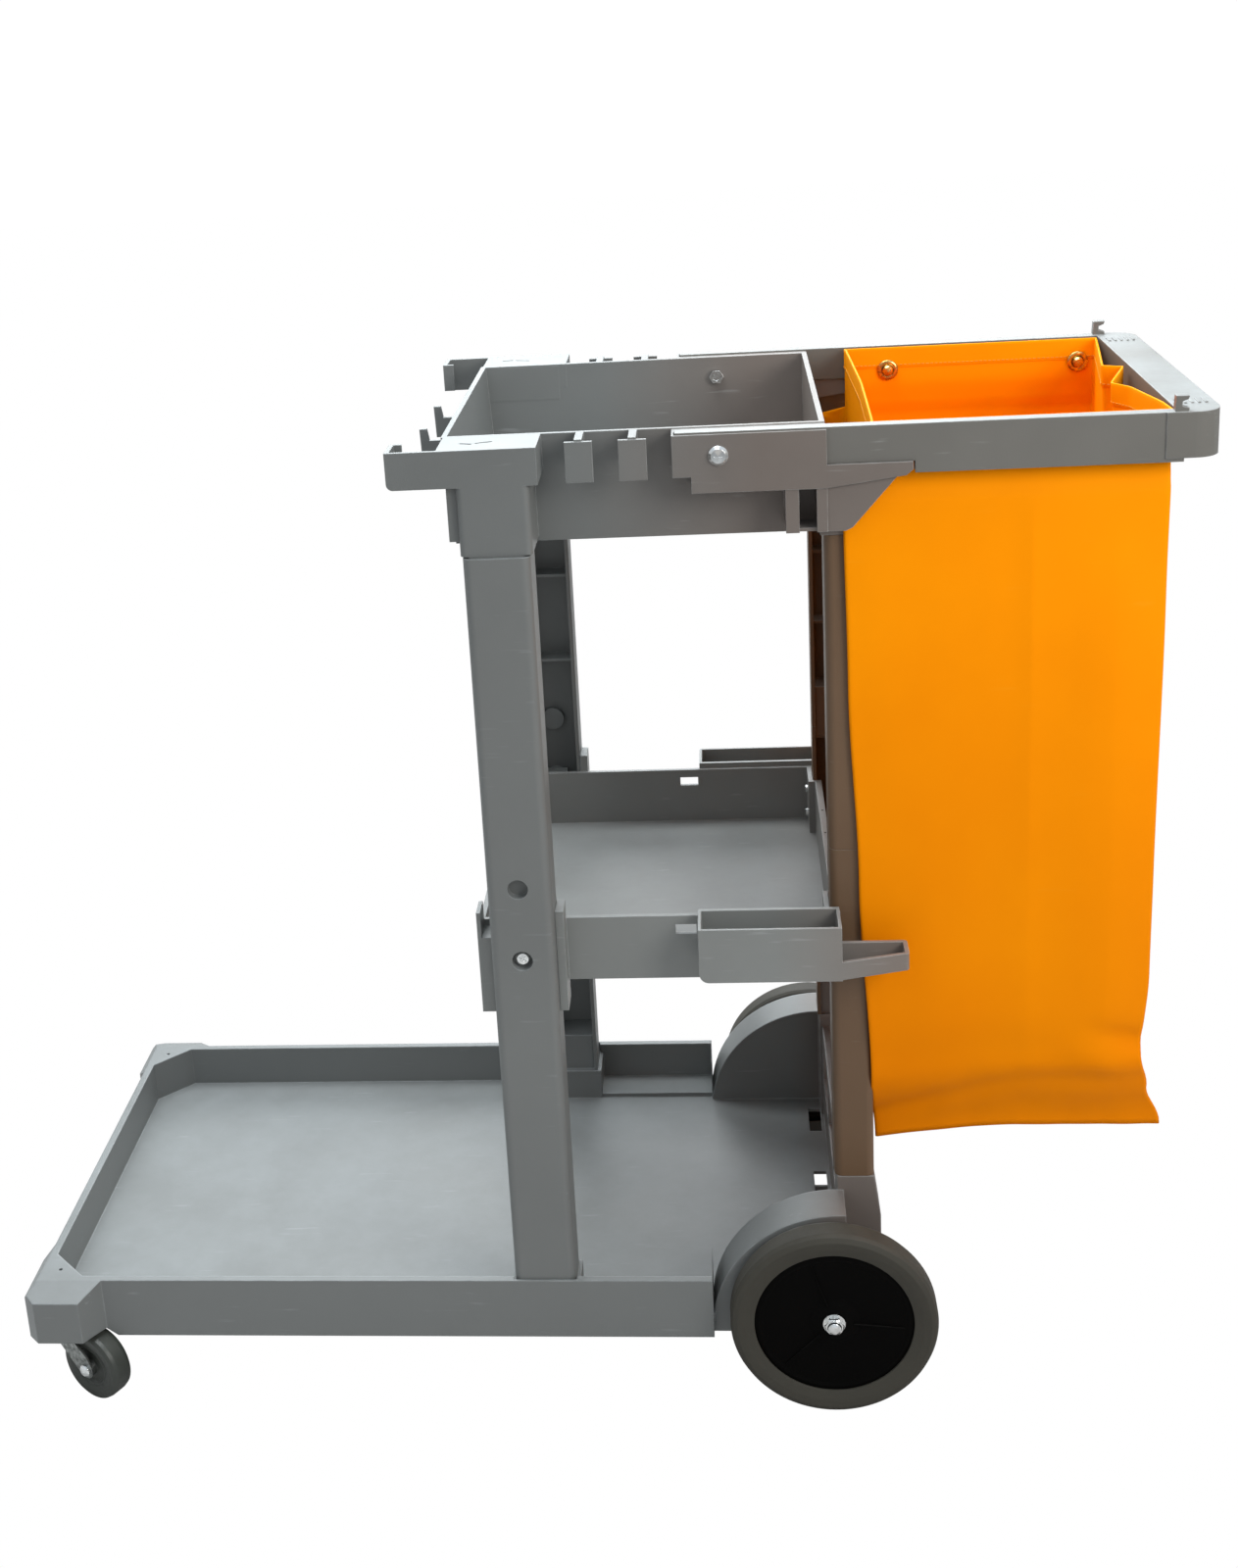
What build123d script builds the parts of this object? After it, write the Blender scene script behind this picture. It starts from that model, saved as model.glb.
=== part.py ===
"""Housekeeping cart: base platform, channel posts, middle shelf, top tray, bag frame with a vinyl bag,
two fixed 8 inch wheels and two swivel casters.

Millimetres. +X points to the bag and push handle, +Y to the cart's right side, +Z up. The origin lies on
the floor below the middle of the cart. Pieces of the two sides are made once at -Y, the left side, and
mirrored to +Y.
"""
from build123d import *
import os

# ---------------------------------------------------------------- driving dimensions

# Overall sizes
platform_front_x = -575.0
tray_bottom_z = 884.0  # underside of the top tray; all that stands above the posts follows it
tray_depth = 102.0
tray_top_z = tray_bottom_z + tray_depth

# Gaps
fit_gap = 0.3          # between pieces of different bodies, and loose seats
seat_gap = 0.2         # between screwed pieces that seat in each other
shaft_gap = 0.05       # radial clearance of a shaft in its bore

# Rear wheels
axle_x = 235.0
wheel_radius = 101.5
tyre_inner_radius = 78.0
wheel_outer_y = 264.0
wheel_inner_y = 232.5
tyre_shoulder = 7.0
disc_dish = 6.0        # the disc lies this much inside the tyre's outer face
disc_thickness = 6.0
hub_radius = 17.0
axle_radius = 6.0
bush_radius = 9.0
axle_thread_radius = 5.0
axle_nut_height = 6.0
axle_nut_across_flats = 17.0
washer_radius = 11.0
washer_thickness = 1.6

# Casters
caster_x = platform_front_x + 19.2
caster_y = 220.2
caster_wheel_radius = 37.5
caster_wheel_width = 25.0
caster_hub_radius = 22.0
caster_trail = 37.0
caster_angle = 29.0    # the wheels point this far outwards at rest
crown_radius = 21.0
crown_bottom_z = 78.6
crown_thickness = 2.4
fork_plate = 2.5
fork_side_gap = 2.0
kingpin_radius = 5.0
stem_radius = 5.5
stem_top_z = 126.0
cup_radius = 19.0
caster_axle_radius = 4.0
caster_nut_height = 5.0
caster_nut_across_flats = 12.0

# Base platform
platform_side_y = 239.0
platform_wall = 8.0
platform_bottom_z = 70.0
front_bottom_z = 79.0  # the skirt is higher where the casters swing
corner_skin = 6.0
front_zone_x = platform_front_x + 78.0
floor_top_z = 88.0
floor_thickness = 4.0
rim_z = 136.0
block_front_x = platform_front_x - 10.0
block_side_y = 265.0
block_length_end_x = platform_front_x + 49.0
block_blend_x = platform_front_x + 67.0
block_inner_y = 176.0
block_shoulder_z = 126.0
gusset_reach = 37.5
gusset_hole_radius = 2.0
rib_thickness = 3.0
rib_pitch = 110.0
ledge_top_z = 93.0
ledge_inner_y = 190.0

# Wheel housings and rear wall
housing_radius = wheel_radius + 27.5
housing_centre_x = 245.0
housing_centre_z = 75.0
housing_inner_y = 183.0
housing_outer_y = 229.0
housing_end_x = 250.0
housing_wall = 4.0
axle_boss_radius = 13.0
rear_wall_x = 247.0
rear_wall_end_x = 255.0
rear_wall_top_z = housing_centre_z + housing_radius
window_bottom_z = 140.0
window_top_z = 190.0
windows_y = ((-138.0, -50.0), (-42.0, 42.0), (50.0, 138.0))
floor_slot_x = 229.0
floor_slot_width = 14.0
floor_slots = ((-136.0, 49.0), (-15.0, 27.0), (15.0, 27.0), (136.0, 49.0))   # centre in Y, length

# Front posts
front_post_x = -80.5
front_post_width = 61.0
front_post_outer_y = 236.0
front_post_inner_y = 190.2
front_post_bottom_z = 125.0
front_post_top_z = tray_bottom_z + 3.0
post_wall = 4.0
post_corner_radius = 8.0
plug_hole_z = 564.0
plug_hole_radius = 9.75
shelf_screw_z = 489.6
shelf_screw_x = front_post_x + 29.5
screw_recess_radius = 10.0
screw_recess_depth = 9.0
tenon_height = 45.0
front_post_rib_z = (250.0, 350.0, 640.0, tray_bottom_z - 144.0, tray_bottom_z - 54.0)
shelf_screw_radius = 3.0
shelf_screw_length = 28.0

# Rear posts
rear_post_x = 242.0
rear_post_width = 39.0
rear_post_outer_y = 184.7
rear_post_inner_y = 146.0
rear_post_bottom_z = rear_wall_top_z + 16.0
rear_post_joint_z = 575.0
rear_post_top_z = tray_bottom_z - 0.5
pedestal_flare = 6.0
rear_post_rib_z = (tray_bottom_z - 194.0, tray_bottom_z - 114.0)

# Middle shelf
shelf_front_x = front_post_x - 14.5
shelf_end_x = 251.0
shelf_side_y = 190.0
shelf_wall = 5.0
shelf_bottom_z = 446.0
shelf_floor = 4.0
shelf_top_z = 512.0
ear_bottom_z = 426.0
ear_top_z = 531.0
ear_outer_y = 216.0
ear_thickness = 8.0
pocket_x = 116.0
pocket_end_x = 250.0
pocket_outer_y = 235.0
pocket_bottom_z = 463.0
pocket_top_z = 518.0
pocket_wall = 3.0
prong_end_x = 312.0
prong_inner_y = 206.0
prong_bottom_z = 466.0
prong_top_z = 490.5
prong_root_drop = 8.5   # the outer wall is this much lower beside the pocket
prong_wall = 4.0
clip_y = -165.0
clip_z = (466.0, 494.0)
clip_radius = 2.3
wall_slot_x = 94.0
wall_slot_length = 20.0
rim_dots_y = (-60.0, 0.0, 60.0)
rim_dot_radius = 1.5

# Top tray
tray_front_x = front_post_x - 19.5
tray_end_x = 245.0
tray_rim_y = 175.0
tray_bottom_y = 167.0
tray_front_draft = 6.0
tray_floor = 4.0
tray_wall = 5.0
bracket_outer_y = 232.0
bracket_front_x = tray_front_x - 44.0
bracket_end_x = front_post_x + front_post_width + 10.5
bracket_bottom_z = tray_top_z - 34.0
bracket_wall = 4.0
bracket_return = 38.0
bracket_lip = 11.0
corner_plate = 4.0
plate_slots = ((front_post_x + 22.5, -202.0, 18.0, 16.0), (front_post_x + 6.5, -205.0, -18.0, 12.0))   # x, y, turn, length
plate_slot_width = 3.2
sleeve_x = front_post_x - 2.0
sleeve_end_x = front_post_x + front_post_width + 2.5
sleeve_seam_gap = 1.5
strip_x = front_post_x - 11.5
strip_end_x = front_post_x - 3.0
strip_bottom_z = tray_bottom_z + 17.0
hook_y = -54.0
hook_length = 37.0
hook_thickness = 5.0
hook_tip_width = 7.0
hook_drop = 28.0       # the hook's seat below the tray's rim
hook_rise = 11.5
hook_depth = 20.0
tab_outer_y = 208.0
tab_thickness = 4.0
tab_width = 25.0
tab_neck_width = 7.0
tab_bottom_z = tray_top_z - 39.0
tab_pitch = 48.0
first_tab_x = bracket_end_x + 23.0

# Arm sleeves of the tray
arm_x = 109.0
arm_outer_y = 205.0
arm_bottom_z = tray_top_z - 54.0
arm_notch_x = 125.4
arm_notch_z = tray_top_z - 39.0
arm_ledge_end_x = 320.0
arm_ledge_thickness = 12.0
arm_rib_x = 208.0
arm_rib_width = 12.0
arm_end_rib_x = 235.6
gusset_bottom_z = tray_bottom_z + 8.0
gusset_end_x = 267.0
gusset_top_end_x = 310.0

# Bag frame
rail_outer_y = 201.7
rail_width = 14.4
rail_start_x = 112.0
rail_bottom_z = tray_top_z - 43.4
rail_seat_z = tray_top_z - 32.5
rail_notch_x = 322.0
rail_top_z = tray_top_z + 0.7
rail_wall = 3.0
handle_x = 546.7
handle_end_x = 585.0
handle_bottom_z = tray_top_z - 40.0
handle_side_y = 203.0
handle_corner_x = 536.0
handle_corner_radius = 24.0
cleat_x = 543.0
cleat_width = 12.0
cleat_depth = 9.0
cleat_height = 14.0
grip_rib_height = 1.2
grip_rib_count = 5
grip_rib_pitch = 6.0
frame_bolt_x = 150.0
frame_bolt_z = tray_top_z - 20.0
frame_bolt_radius = 4.0

# Bag
bag_x = 284.0
bag_end_x = 543.0
bag_side_y = 183.0
bag_top_z = tray_top_z - 7.0
bag_bottom_x = 284.0
bag_bottom_end_x = 550.0
bag_bottom_side_y = 165.0
bag_bottom_z = 275.0
bag_wall = 1.6
stud_x = (330.0, 526.0)
stud_z = tray_top_z - 24.0
stud_radius = 4.0
grommet_radius = 11.0
grommet_hole_radius = 5.0
grommet_thickness = 2.4
grommet_seat = 0.6     # clears the leaning side of the bag

# ---------------------------------------------------------------- values that follow

wheel_z = wheel_radius
disc_outer_y = wheel_outer_y - disc_dish
hub_outer_y = disc_outer_y + 0.3
hub_inner_y = housing_outer_y + 0.8
washer_y = hub_outer_y + fit_gap
nut_y = washer_y + washer_thickness
crown_top_z = crown_bottom_z + crown_thickness
cup_bottom_z = crown_top_z + fit_gap
floor_bottom_z = floor_top_z - floor_thickness
fork_inner = caster_wheel_width / 2 + fork_side_gap


# ---------------------------------------------------------------- shape helpers

def block(x0, x1, y0, y1, z0, z1):
    """A box between two corners."""
    size = (abs(x1 - x0), abs(y1 - y0), abs(z1 - z0))
    return Pos((x0 + x1) / 2, (y0 + y1) / 2, (z0 + z1) / 2) * Box(*size)


def side_plate(points, y0, y1):
    """A flat plate with an outline in X and Z, from y0 to y1."""
    outline = make_face(Polyline(*[(x, 0, z) for x, z in points], close=True))
    return Pos(0, min(y0, y1), 0) * extrude(outline, amount=abs(y1 - y0), dir=(0, 1, 0))


def floor_plate(points, z0, z1):
    """A flat plate with an outline in X and Y, from z0 to z1."""
    outline = make_face(Polyline(*[(x, y, 0) for x, y in points], close=True))
    return Pos(0, 0, z0) * extrude(outline, amount=z1 - z0, dir=(0, 0, 1))


def cross_plate(points, x0, x1):
    """A flat plate with an outline in Y and Z, from x0 to x1."""
    outline = make_face(Polyline(*[(0, y, z) for y, z in points], close=True))
    return Pos(min(x0, x1), 0, 0) * extrude(outline, amount=abs(x1 - x0), dir=(1, 0, 0))


def rod_y(radius, x, z, y0, y1):
    """A round rod along Y."""
    return Pos(x, (y0 + y1) / 2, z) * Rot(90, 0, 0) * Cylinder(radius, abs(y1 - y0))


def rod_x(radius, y, z, x0, x1):
    """A round rod along X."""
    return Pos((x0 + x1) / 2, y, z) * Rot(0, 90, 0) * Cylinder(radius, abs(x1 - x0))


def rod_z(radius, x, y, z0, z1):
    """A round rod along Z."""
    return Pos(x, y, (z0 + z1) / 2) * Cylinder(radius, z1 - z0)


def hex_y(across_flats, x, z, y0, y1):
    """A hexagonal prism along Y."""
    outline = RegularPolygon(across_flats / 2, 6, major_radius=False)
    return Pos(x, (y0 + y1) / 2, z) * Rot(90, 0, 0) * Pos(0, 0, -abs(y1 - y0) / 2) * extrude(
        outline, amount=abs(y1 - y0))


def turned_y(points, x, z):
    """A solid turned about a Y axis; points are (radius, y)."""
    outline = make_face(Polyline(*[(radius, y, 0) for radius, y in points], close=True))
    return Pos(x, 0, z) * revolve(outline, Axis.Y)


def tapered_box(low, high, z0, z1):
    """A box whose bottom and top rectangles differ; each is (x0, x1, half width)."""
    faces = []
    for (x0, x1, half), z in ((low, z0), (high, z1)):
        faces.append(Pos((x0 + x1) / 2, 0, z) * Rectangle(x1 - x0, 2 * half))
    return loft(faces)


def tenon(x0, width, inner_y, outer_y, z0, z1):
    """The tongue that fills the end of a channel post, with rounded outer corners."""
    inset = post_wall + seat_gap
    tongue = block(x0 + inset, x0 + width - inset, -inner_y - inset, -outer_y + inset, z0, z1)
    corners = tongue.edges().filter_by(Axis.Z).sort_by(Axis.Y)[:2]
    return fillet(corners, post_corner_radius - post_wall + seat_gap)


def front_tenon(z0, z1):
    return tenon(front_post_x, front_post_width, front_post_inner_y, front_post_outer_y, z0, z1)


def rear_tenon(z0, z1):
    return tenon(rear_post_x, rear_post_width, rear_post_inner_y, rear_post_outer_y, z0, z1)


def other_side(solid):
    return mirror(solid, about=Plane.XZ)


def both_sides(solid):
    return solid + other_side(solid)


# ---------------------------------------------------------------- base platform

def housing_solid(radius, end_x, bottom_z, y0, y1):
    """A quarter arch that runs flat to its rear end, as a solid."""
    cx, cz = housing_centre_x, housing_centre_z
    arch = rod_y(radius, cx, cz, y0, y1) & block(cx - radius, cx, y0, y1, cz, cz + radius)
    return (arch + block(cx - radius, end_x, y0, y1, bottom_z, cz)
            + block(cx, end_x, y0, y1, bottom_z, cz + radius))


def wheel_housing():
    """One hollow fender with the boss that holds the axle stub."""
    y0, y1, wall = -housing_inner_y, -housing_outer_y, housing_wall
    shell = housing_solid(housing_radius, housing_end_x, platform_bottom_z, y0, y1)
    shell -= housing_solid(housing_radius - wall, housing_end_x - wall, platform_bottom_z - 1,
                           y0 - wall, y1 + wall)
    return shell + rod_y(axle_boss_radius, axle_x, wheel_z, y0, y1)


def corner_block():
    """The bulge around a caster, with its sloping roof and open underside."""
    outline = [(platform_front_x, -block_inner_y), (block_front_x, -block_inner_y - 14),
               (block_front_x, -block_side_y + 12), (block_front_x + 12, -block_side_y),
               (block_length_end_x, -block_side_y), (block_blend_x, -platform_side_y),
               (block_blend_x, -block_inner_y)]
    solid = floor_plate(outline, front_bottom_z, rim_z)
    side_cut = [(-block_side_y - 1, block_shoulder_z - 0.4), (-block_side_y - 1, rim_z + 1),
                (-platform_side_y + 2.6, rim_z + 1)]
    front_cut = [(block_front_x - 1, block_shoulder_z - 1), (block_front_x - 1, rim_z + 1),
                 (platform_front_x + 1, rim_z + 1)]
    solid -= cross_plate(side_cut, block_front_x - 1, block_blend_x + 1)
    return solid - side_plate(front_cut, -block_side_y - 1, -block_inner_y + 1)


def corner_hollow():
    """The open underside of a corner block, where the caster's crown turns."""
    inner = corner_skin
    outline = [(block_front_x + inner, -block_inner_y - 14), (block_front_x + inner, -block_side_y + 15),
               (block_front_x + 15, -block_side_y + inner), (block_length_end_x - 2, -block_side_y + inner),
               (block_blend_x - 2, -platform_side_y + inner), (block_blend_x - 2, -block_inner_y + 1),
               (block_front_x + inner, -block_inner_y + 1)]
    return floor_plate(outline, front_bottom_z - 1, floor_bottom_z)


def caster_tower():
    """The triangular corner column that takes the caster stem."""
    x = platform_front_x + platform_wall
    y = -platform_side_y + platform_wall
    return floor_plate([(x - 1, y - 1), (x + gusset_reach, y - 1), (x + gusset_reach, y),
                        (x, y + gusset_reach), (x - 1, y + gusset_reach)], floor_bottom_z, rim_z)


def front_socket():
    """The boss and tenon that carry a front post."""
    x0, x1 = front_post_x - 4, front_post_x + front_post_width + 4
    boss = block(x0, x1, -front_post_inner_y + 2, -platform_side_y + 1, floor_bottom_z,
                 front_post_bottom_z)
    return boss + front_tenon(front_post_bottom_z - 1, front_post_bottom_z + tenon_height)


def rear_pedestal():
    """The foot of a rear post with its tenon."""
    x1 = rear_post_x + rear_post_width
    foot = side_plate([(rear_post_x + 2, platform_bottom_z), (x1 + pedestal_flare, platform_bottom_z),
                       (x1 + pedestal_flare, rear_post_bottom_z - 45), (x1, rear_post_bottom_z),
                       (rear_post_x + 2, rear_post_bottom_z)], -rear_post_inner_y, -rear_post_outer_y)
    return foot + rear_tenon(rear_post_bottom_z - 1, rear_post_bottom_z + tenon_height)


def floor_ribs():
    """Stiffening ribs below the floor."""
    ribs = None
    count_x = int((rear_wall_x - front_zone_x) // rib_pitch)
    for i in range(count_x + 1):
        x = front_zone_x + 8 + i * rib_pitch
        if x > housing_centre_x - housing_radius - 4:
            half = housing_inner_y + 1
        else:
            half = platform_side_y - platform_wall + 1
        rib = block(x, x + rib_thickness, -half, half, platform_bottom_z + 4, floor_bottom_z + 1)
        ribs = rib if ribs is None else ribs + rib
    for y in (-rib_pitch, 0.0, rib_pitch):
        ribs += block(front_zone_x + 8, rear_wall_x + 1, y - rib_thickness / 2, y + rib_thickness / 2,
                      platform_bottom_z + 4, floor_bottom_z + 1)
    return ribs


def make_base_platform():
    arch_x = housing_centre_x - housing_radius + 1
    y, wall = platform_side_y, platform_wall
    body = block(platform_front_x, front_zone_x, -y, y, front_bottom_z, rim_z)
    body += block(front_zone_x, arch_x, -y, y, platform_bottom_z, rim_z)
    body += block(arch_x, rear_wall_end_x, -housing_inner_y - 2, housing_inner_y + 2,
                  platform_bottom_z, rim_z)
    ramp_x = block_blend_x - 1
    body += side_plate([(ramp_x, front_bottom_z), (front_zone_x, platform_bottom_z),
                        (front_zone_x + 1, platform_bottom_z), (front_zone_x + 1, front_bottom_z + 1),
                        (ramp_x, front_bottom_z + 1)], -y, y)
    body += both_sides(corner_block())
    cavity = block(platform_front_x + wall, arch_x - 0.5, -y + wall, y - wall, floor_top_z, rim_z + 1)
    cavity += block(arch_x - 1, rear_wall_x, -housing_inner_y - 3, housing_inner_y + 3, floor_top_z,
                    rim_z + 1)
    under = block(platform_front_x + wall, arch_x - 0.5, -y + wall, y - wall, platform_bottom_z - 1,
                  floor_bottom_z)
    under += block(arch_x - 1, rear_wall_x, -housing_inner_y - 3, housing_inner_y + 3,
                   platform_bottom_z - 1, floor_bottom_z)
    body = body - cavity - under
    body += block(rear_wall_x, rear_wall_end_x, -housing_inner_y - 1, housing_inner_y + 1,
                  platform_bottom_z, rear_wall_top_z)
    body -= both_sides(corner_hollow())
    body += both_sides(wheel_housing())
    body += both_sides(caster_tower())
    body += both_sides(block(front_post_x, arch_x + 2, -ledge_inner_y, -y + wall - 0.5, floor_bottom_z,
                             ledge_top_z))
    body -= both_sides(block(front_post_x - 1, front_post_x + front_post_width + 1,
                             -front_post_inner_y + 3, -front_post_outer_y - seat_gap,
                             front_post_bottom_z, rim_z + 1))
    body += both_sides(front_socket())
    body += both_sides(rear_pedestal())
    body += floor_ribs()
    for y0, y1 in windows_y:
        body -= block(rear_wall_x - 1, rear_wall_end_x + 1, y0, y1, window_bottom_z, window_top_z)
    for centre, length in floor_slots:
        body -= block(floor_slot_x, floor_slot_x + floor_slot_width, centre - length / 2,
                      centre + length / 2, floor_bottom_z - 1, floor_top_z + 1)
    body -= both_sides(rod_z(stem_radius + shaft_gap, caster_x, -caster_y, floor_bottom_z - 3,
                             stem_top_z + 1))
    body -= both_sides(rod_z(gusset_hole_radius, caster_x, -caster_y, stem_top_z, rim_z + 1))
    body -= both_sides(rod_y(axle_radius + shaft_gap, axle_x, wheel_z, -housing_inner_y - 2,
                             -housing_outer_y - 1))
    return body


# ---------------------------------------------------------------- posts

def channel(x0, x1, inner_y, outer_y, z0, z1):
    """An upright channel that is open towards the middle of the cart."""
    width, depth = x1 - x0, outer_y - inner_y
    outline = Pos((x0 + x1) / 2, -(inner_y + outer_y) / 2, z0) * Rectangle(width, depth)
    solid = extrude(outline, amount=z1 - z0)
    corners = solid.edges().filter_by(Axis.Z).sort_by(Axis.Y)[:2]
    solid = fillet(corners, post_corner_radius)
    hollow = Pos((x0 + x1) / 2, -(inner_y + outer_y) / 2, z0 - 1) * Rectangle(
        width - 2 * post_wall, depth - 2 * post_wall)
    hollow = extrude(hollow, amount=z1 - z0 + 2)
    inside = hollow.edges().filter_by(Axis.Z).sort_by(Axis.Y)[:2]
    hollow = fillet(inside, post_corner_radius - post_wall)
    mouth = block(x0 + post_wall, x1 - post_wall, -inner_y + 1, -inner_y - post_wall - 1, z0 - 1, z1 + 1)
    return solid - hollow - mouth


def recess(solid, x, z, face_y, radius, screw_radius):
    """A round cup in the post's outer face, open to the screw behind it."""
    solid += rod_y(radius + 3, x, z, -face_y + 0.6, -face_y + screw_recess_depth + 3)
    solid -= rod_y(radius, x, z, -face_y - 1, -face_y + screw_recess_depth)
    if screw_radius > 0:
        solid -= rod_y(screw_radius, x, z, -face_y - 1, -face_y + screw_recess_depth + 4)
    return solid


def make_front_post():
    solid = channel(front_post_x, front_post_x + front_post_width, front_post_inner_y,
                    front_post_outer_y, front_post_bottom_z, front_post_top_z)
    solid = recess(solid, shelf_screw_x, plug_hole_z, front_post_outer_y, plug_hole_radius, 0)
    solid = recess(solid, shelf_screw_x, shelf_screw_z, front_post_outer_y, screw_recess_radius,
                   shelf_screw_radius + shaft_gap)
    rib_x0, rib_x1 = front_post_x + post_wall - 1, front_post_x + front_post_width - post_wall + 1
    for z in front_post_rib_z:
        solid += block(rib_x0, rib_x1, -front_post_inner_y - 16, -front_post_outer_y + 2, z, z + 3)
    return solid


def rear_channel(z0, z1):
    return channel(rear_post_x, rear_post_x + rear_post_width, rear_post_inner_y, rear_post_outer_y,
                   z0, z1)


def make_rear_post_lower():
    solid = rear_channel(rear_post_bottom_z, rear_post_joint_z - seat_gap)
    x0, x1 = rear_post_x + post_wall - 1, rear_post_x + rear_post_width - post_wall + 1
    spigot = rear_tenon(rear_post_joint_z - 12, rear_post_joint_z + tenon_height)
    base = block(x0, x1, -rear_post_inner_y - 5, -rear_post_outer_y + 2, rear_post_joint_z - 15,
                 rear_post_joint_z - 5)
    solid = solid + base + spigot
    for z in clip_z:
        solid -= rod_x(clip_radius + shaft_gap, clip_y, z, rear_post_x - 1, rear_post_x + post_wall + 1)
    return solid


def make_rear_post_upper():
    solid = rear_channel(rear_post_joint_z, rear_post_top_z)
    x0, x1 = rear_post_x + post_wall - 1, rear_post_x + rear_post_width - post_wall + 1
    for z in rear_post_rib_z:
        solid += block(x0, x1, -rear_post_inner_y - 14, -rear_post_outer_y + 2, z, z + 3)
    return solid


# ---------------------------------------------------------------- middle shelf

def shelf_ears():
    """The two clasps that hold a front post between them, and the pad that its screw enters."""
    x0 = front_post_x - seat_gap
    x1 = front_post_x + front_post_width + seat_gap
    y0 = -shelf_side_y + 1
    front_ear = block(shelf_front_x, x0, y0, -ear_outer_y, ear_bottom_z, ear_top_z - 26)
    front_ear += block(shelf_front_x, shelf_front_x + 4, y0, -ear_outer_y, ear_top_z - 30, ear_top_z)
    rear_ear = block(x1, x1 + ear_thickness, y0, -ear_outer_y, ear_bottom_z, ear_top_z)
    webs = block(shelf_front_x, x1 + ear_thickness, y0 + 4, y0 - 0.9, ear_bottom_z, shelf_top_z)
    y1 = -front_post_outer_y + screw_recess_depth + 3 + seat_gap
    pad = block(shelf_screw_x - 14, shelf_screw_x + 14, y0, y1, shelf_screw_z - 14, shelf_screw_z + 14)
    return front_ear + rear_ear + webs + pad


def side_pocket():
    """The small open pocket beside the shelf, with the trough shaped prong behind it."""
    y0, y1 = -shelf_side_y + 1, -pocket_outer_y
    outer = block(pocket_x, pocket_end_x, y0, y1, pocket_bottom_z, pocket_top_z)
    lower_edges = outer.edges().filter_by(Axis.Y).sort_by(Axis.Z)[:2].sort_by(Axis.X)[:1]
    outer = fillet(lower_edges, 9)
    hollow = block(pocket_x + pocket_wall, pocket_end_x - pocket_wall, y0 - 1 - pocket_wall,
                   y1 + pocket_wall, pocket_bottom_z + pocket_wall, pocket_top_z + 1)
    root_x, tip_z = pocket_end_x - 2, prong_bottom_z + 8
    trough = side_plate([(root_x, pocket_bottom_z + 1), (prong_end_x, tip_z), (prong_end_x, prong_top_z),
                         (root_x, prong_top_z)], y1, -prong_inner_y)
    trough = fillet(trough.edges().filter_by(Axis.Z).sort_by(Axis.X)[-2:], prong_wall - 0.5)
    trough -= side_plate([(root_x - 1, pocket_bottom_z + 5), (prong_end_x - prong_wall, tip_z + 4),
                          (prong_end_x - prong_wall, prong_top_z + 1), (root_x - 1, prong_top_z + 1)],
                         y1 + prong_wall, -prong_inner_y - prong_wall)
    trough -= side_plate([(root_x - 1, prong_top_z - prong_root_drop),
                          (prong_end_x - prong_wall, prong_top_z),
                          (prong_end_x - prong_wall, prong_top_z + 1), (root_x - 1, prong_top_z + 1)],
                         y1 - 1, y1 + prong_wall + 1)
    return outer - hollow + trough


def make_middle_shelf():
    y, wall = shelf_side_y, shelf_wall
    body = block(shelf_front_x, shelf_end_x, -y, y, shelf_bottom_z, shelf_top_z)
    body -= block(shelf_front_x + wall, shelf_end_x - wall - 2, -y + wall, y - wall,
                  shelf_bottom_z + shelf_floor, shelf_top_z + 1)
    post_y0, post_y1 = rear_post_inner_y - seat_gap, rear_post_outer_y + seat_gap
    post_x = rear_post_x - seat_gap
    body += both_sides(block(post_x - wall, post_x, -post_y0 + wall, -y + 1, shelf_bottom_z, shelf_top_z))
    body += both_sides(block(post_x - wall, shelf_end_x, -post_y0, -post_y0 + wall, shelf_bottom_z,
                             shelf_top_z))
    body -= both_sides(block(post_x, shelf_end_x + 1, -post_y0, -post_y1, shelf_bottom_z - 1,
                             shelf_top_z + 1))
    body += both_sides(shelf_ears())
    body += both_sides(side_pocket())
    body -= both_sides(block(wall_slot_x, wall_slot_x + wall_slot_length, -y - 1, -y + wall + 1,
                             shelf_top_z - 19, shelf_top_z - 9))
    for dot_y in rim_dots_y:
        body -= rod_z(rim_dot_radius, shelf_end_x - 3.5, dot_y, shelf_top_z - 4, shelf_top_z + 1)
    pilot_y = -front_post_outer_y + screw_recess_depth + 2
    body -= both_sides(rod_y(shelf_screw_radius + shaft_gap, shelf_screw_x, shelf_screw_z, pilot_y,
                             pilot_y + shelf_screw_length + 1))
    for z in clip_z:
        body -= both_sides(rod_x(clip_radius + shaft_gap, clip_y, z, post_x - wall - 1, post_x + 1))
    return body


# ---------------------------------------------------------------- top tray

def tray_bowl():
    """The tray itself, whose front and sides lean outwards."""
    bottom = (tray_front_x + tray_front_draft, tray_end_x, tray_bottom_y)
    top = (tray_front_x, tray_end_x, tray_rim_y)
    outer = tapered_box(bottom, top, tray_bottom_z, tray_top_z)
    slope = (tray_rim_y - tray_bottom_y) / (tray_top_z - tray_bottom_z)
    draft = tray_front_draft / (tray_top_z - tray_bottom_z)
    low = (bottom[0] + tray_wall - draft * tray_floor, tray_end_x - tray_wall,
           tray_bottom_y - tray_wall + slope * tray_floor)
    high = (top[0] + tray_wall - draft, tray_end_x - tray_wall, tray_rim_y - tray_wall + slope)
    return outer - tapered_box(low, high, tray_bottom_z + tray_floor, tray_top_z + 1)


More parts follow.
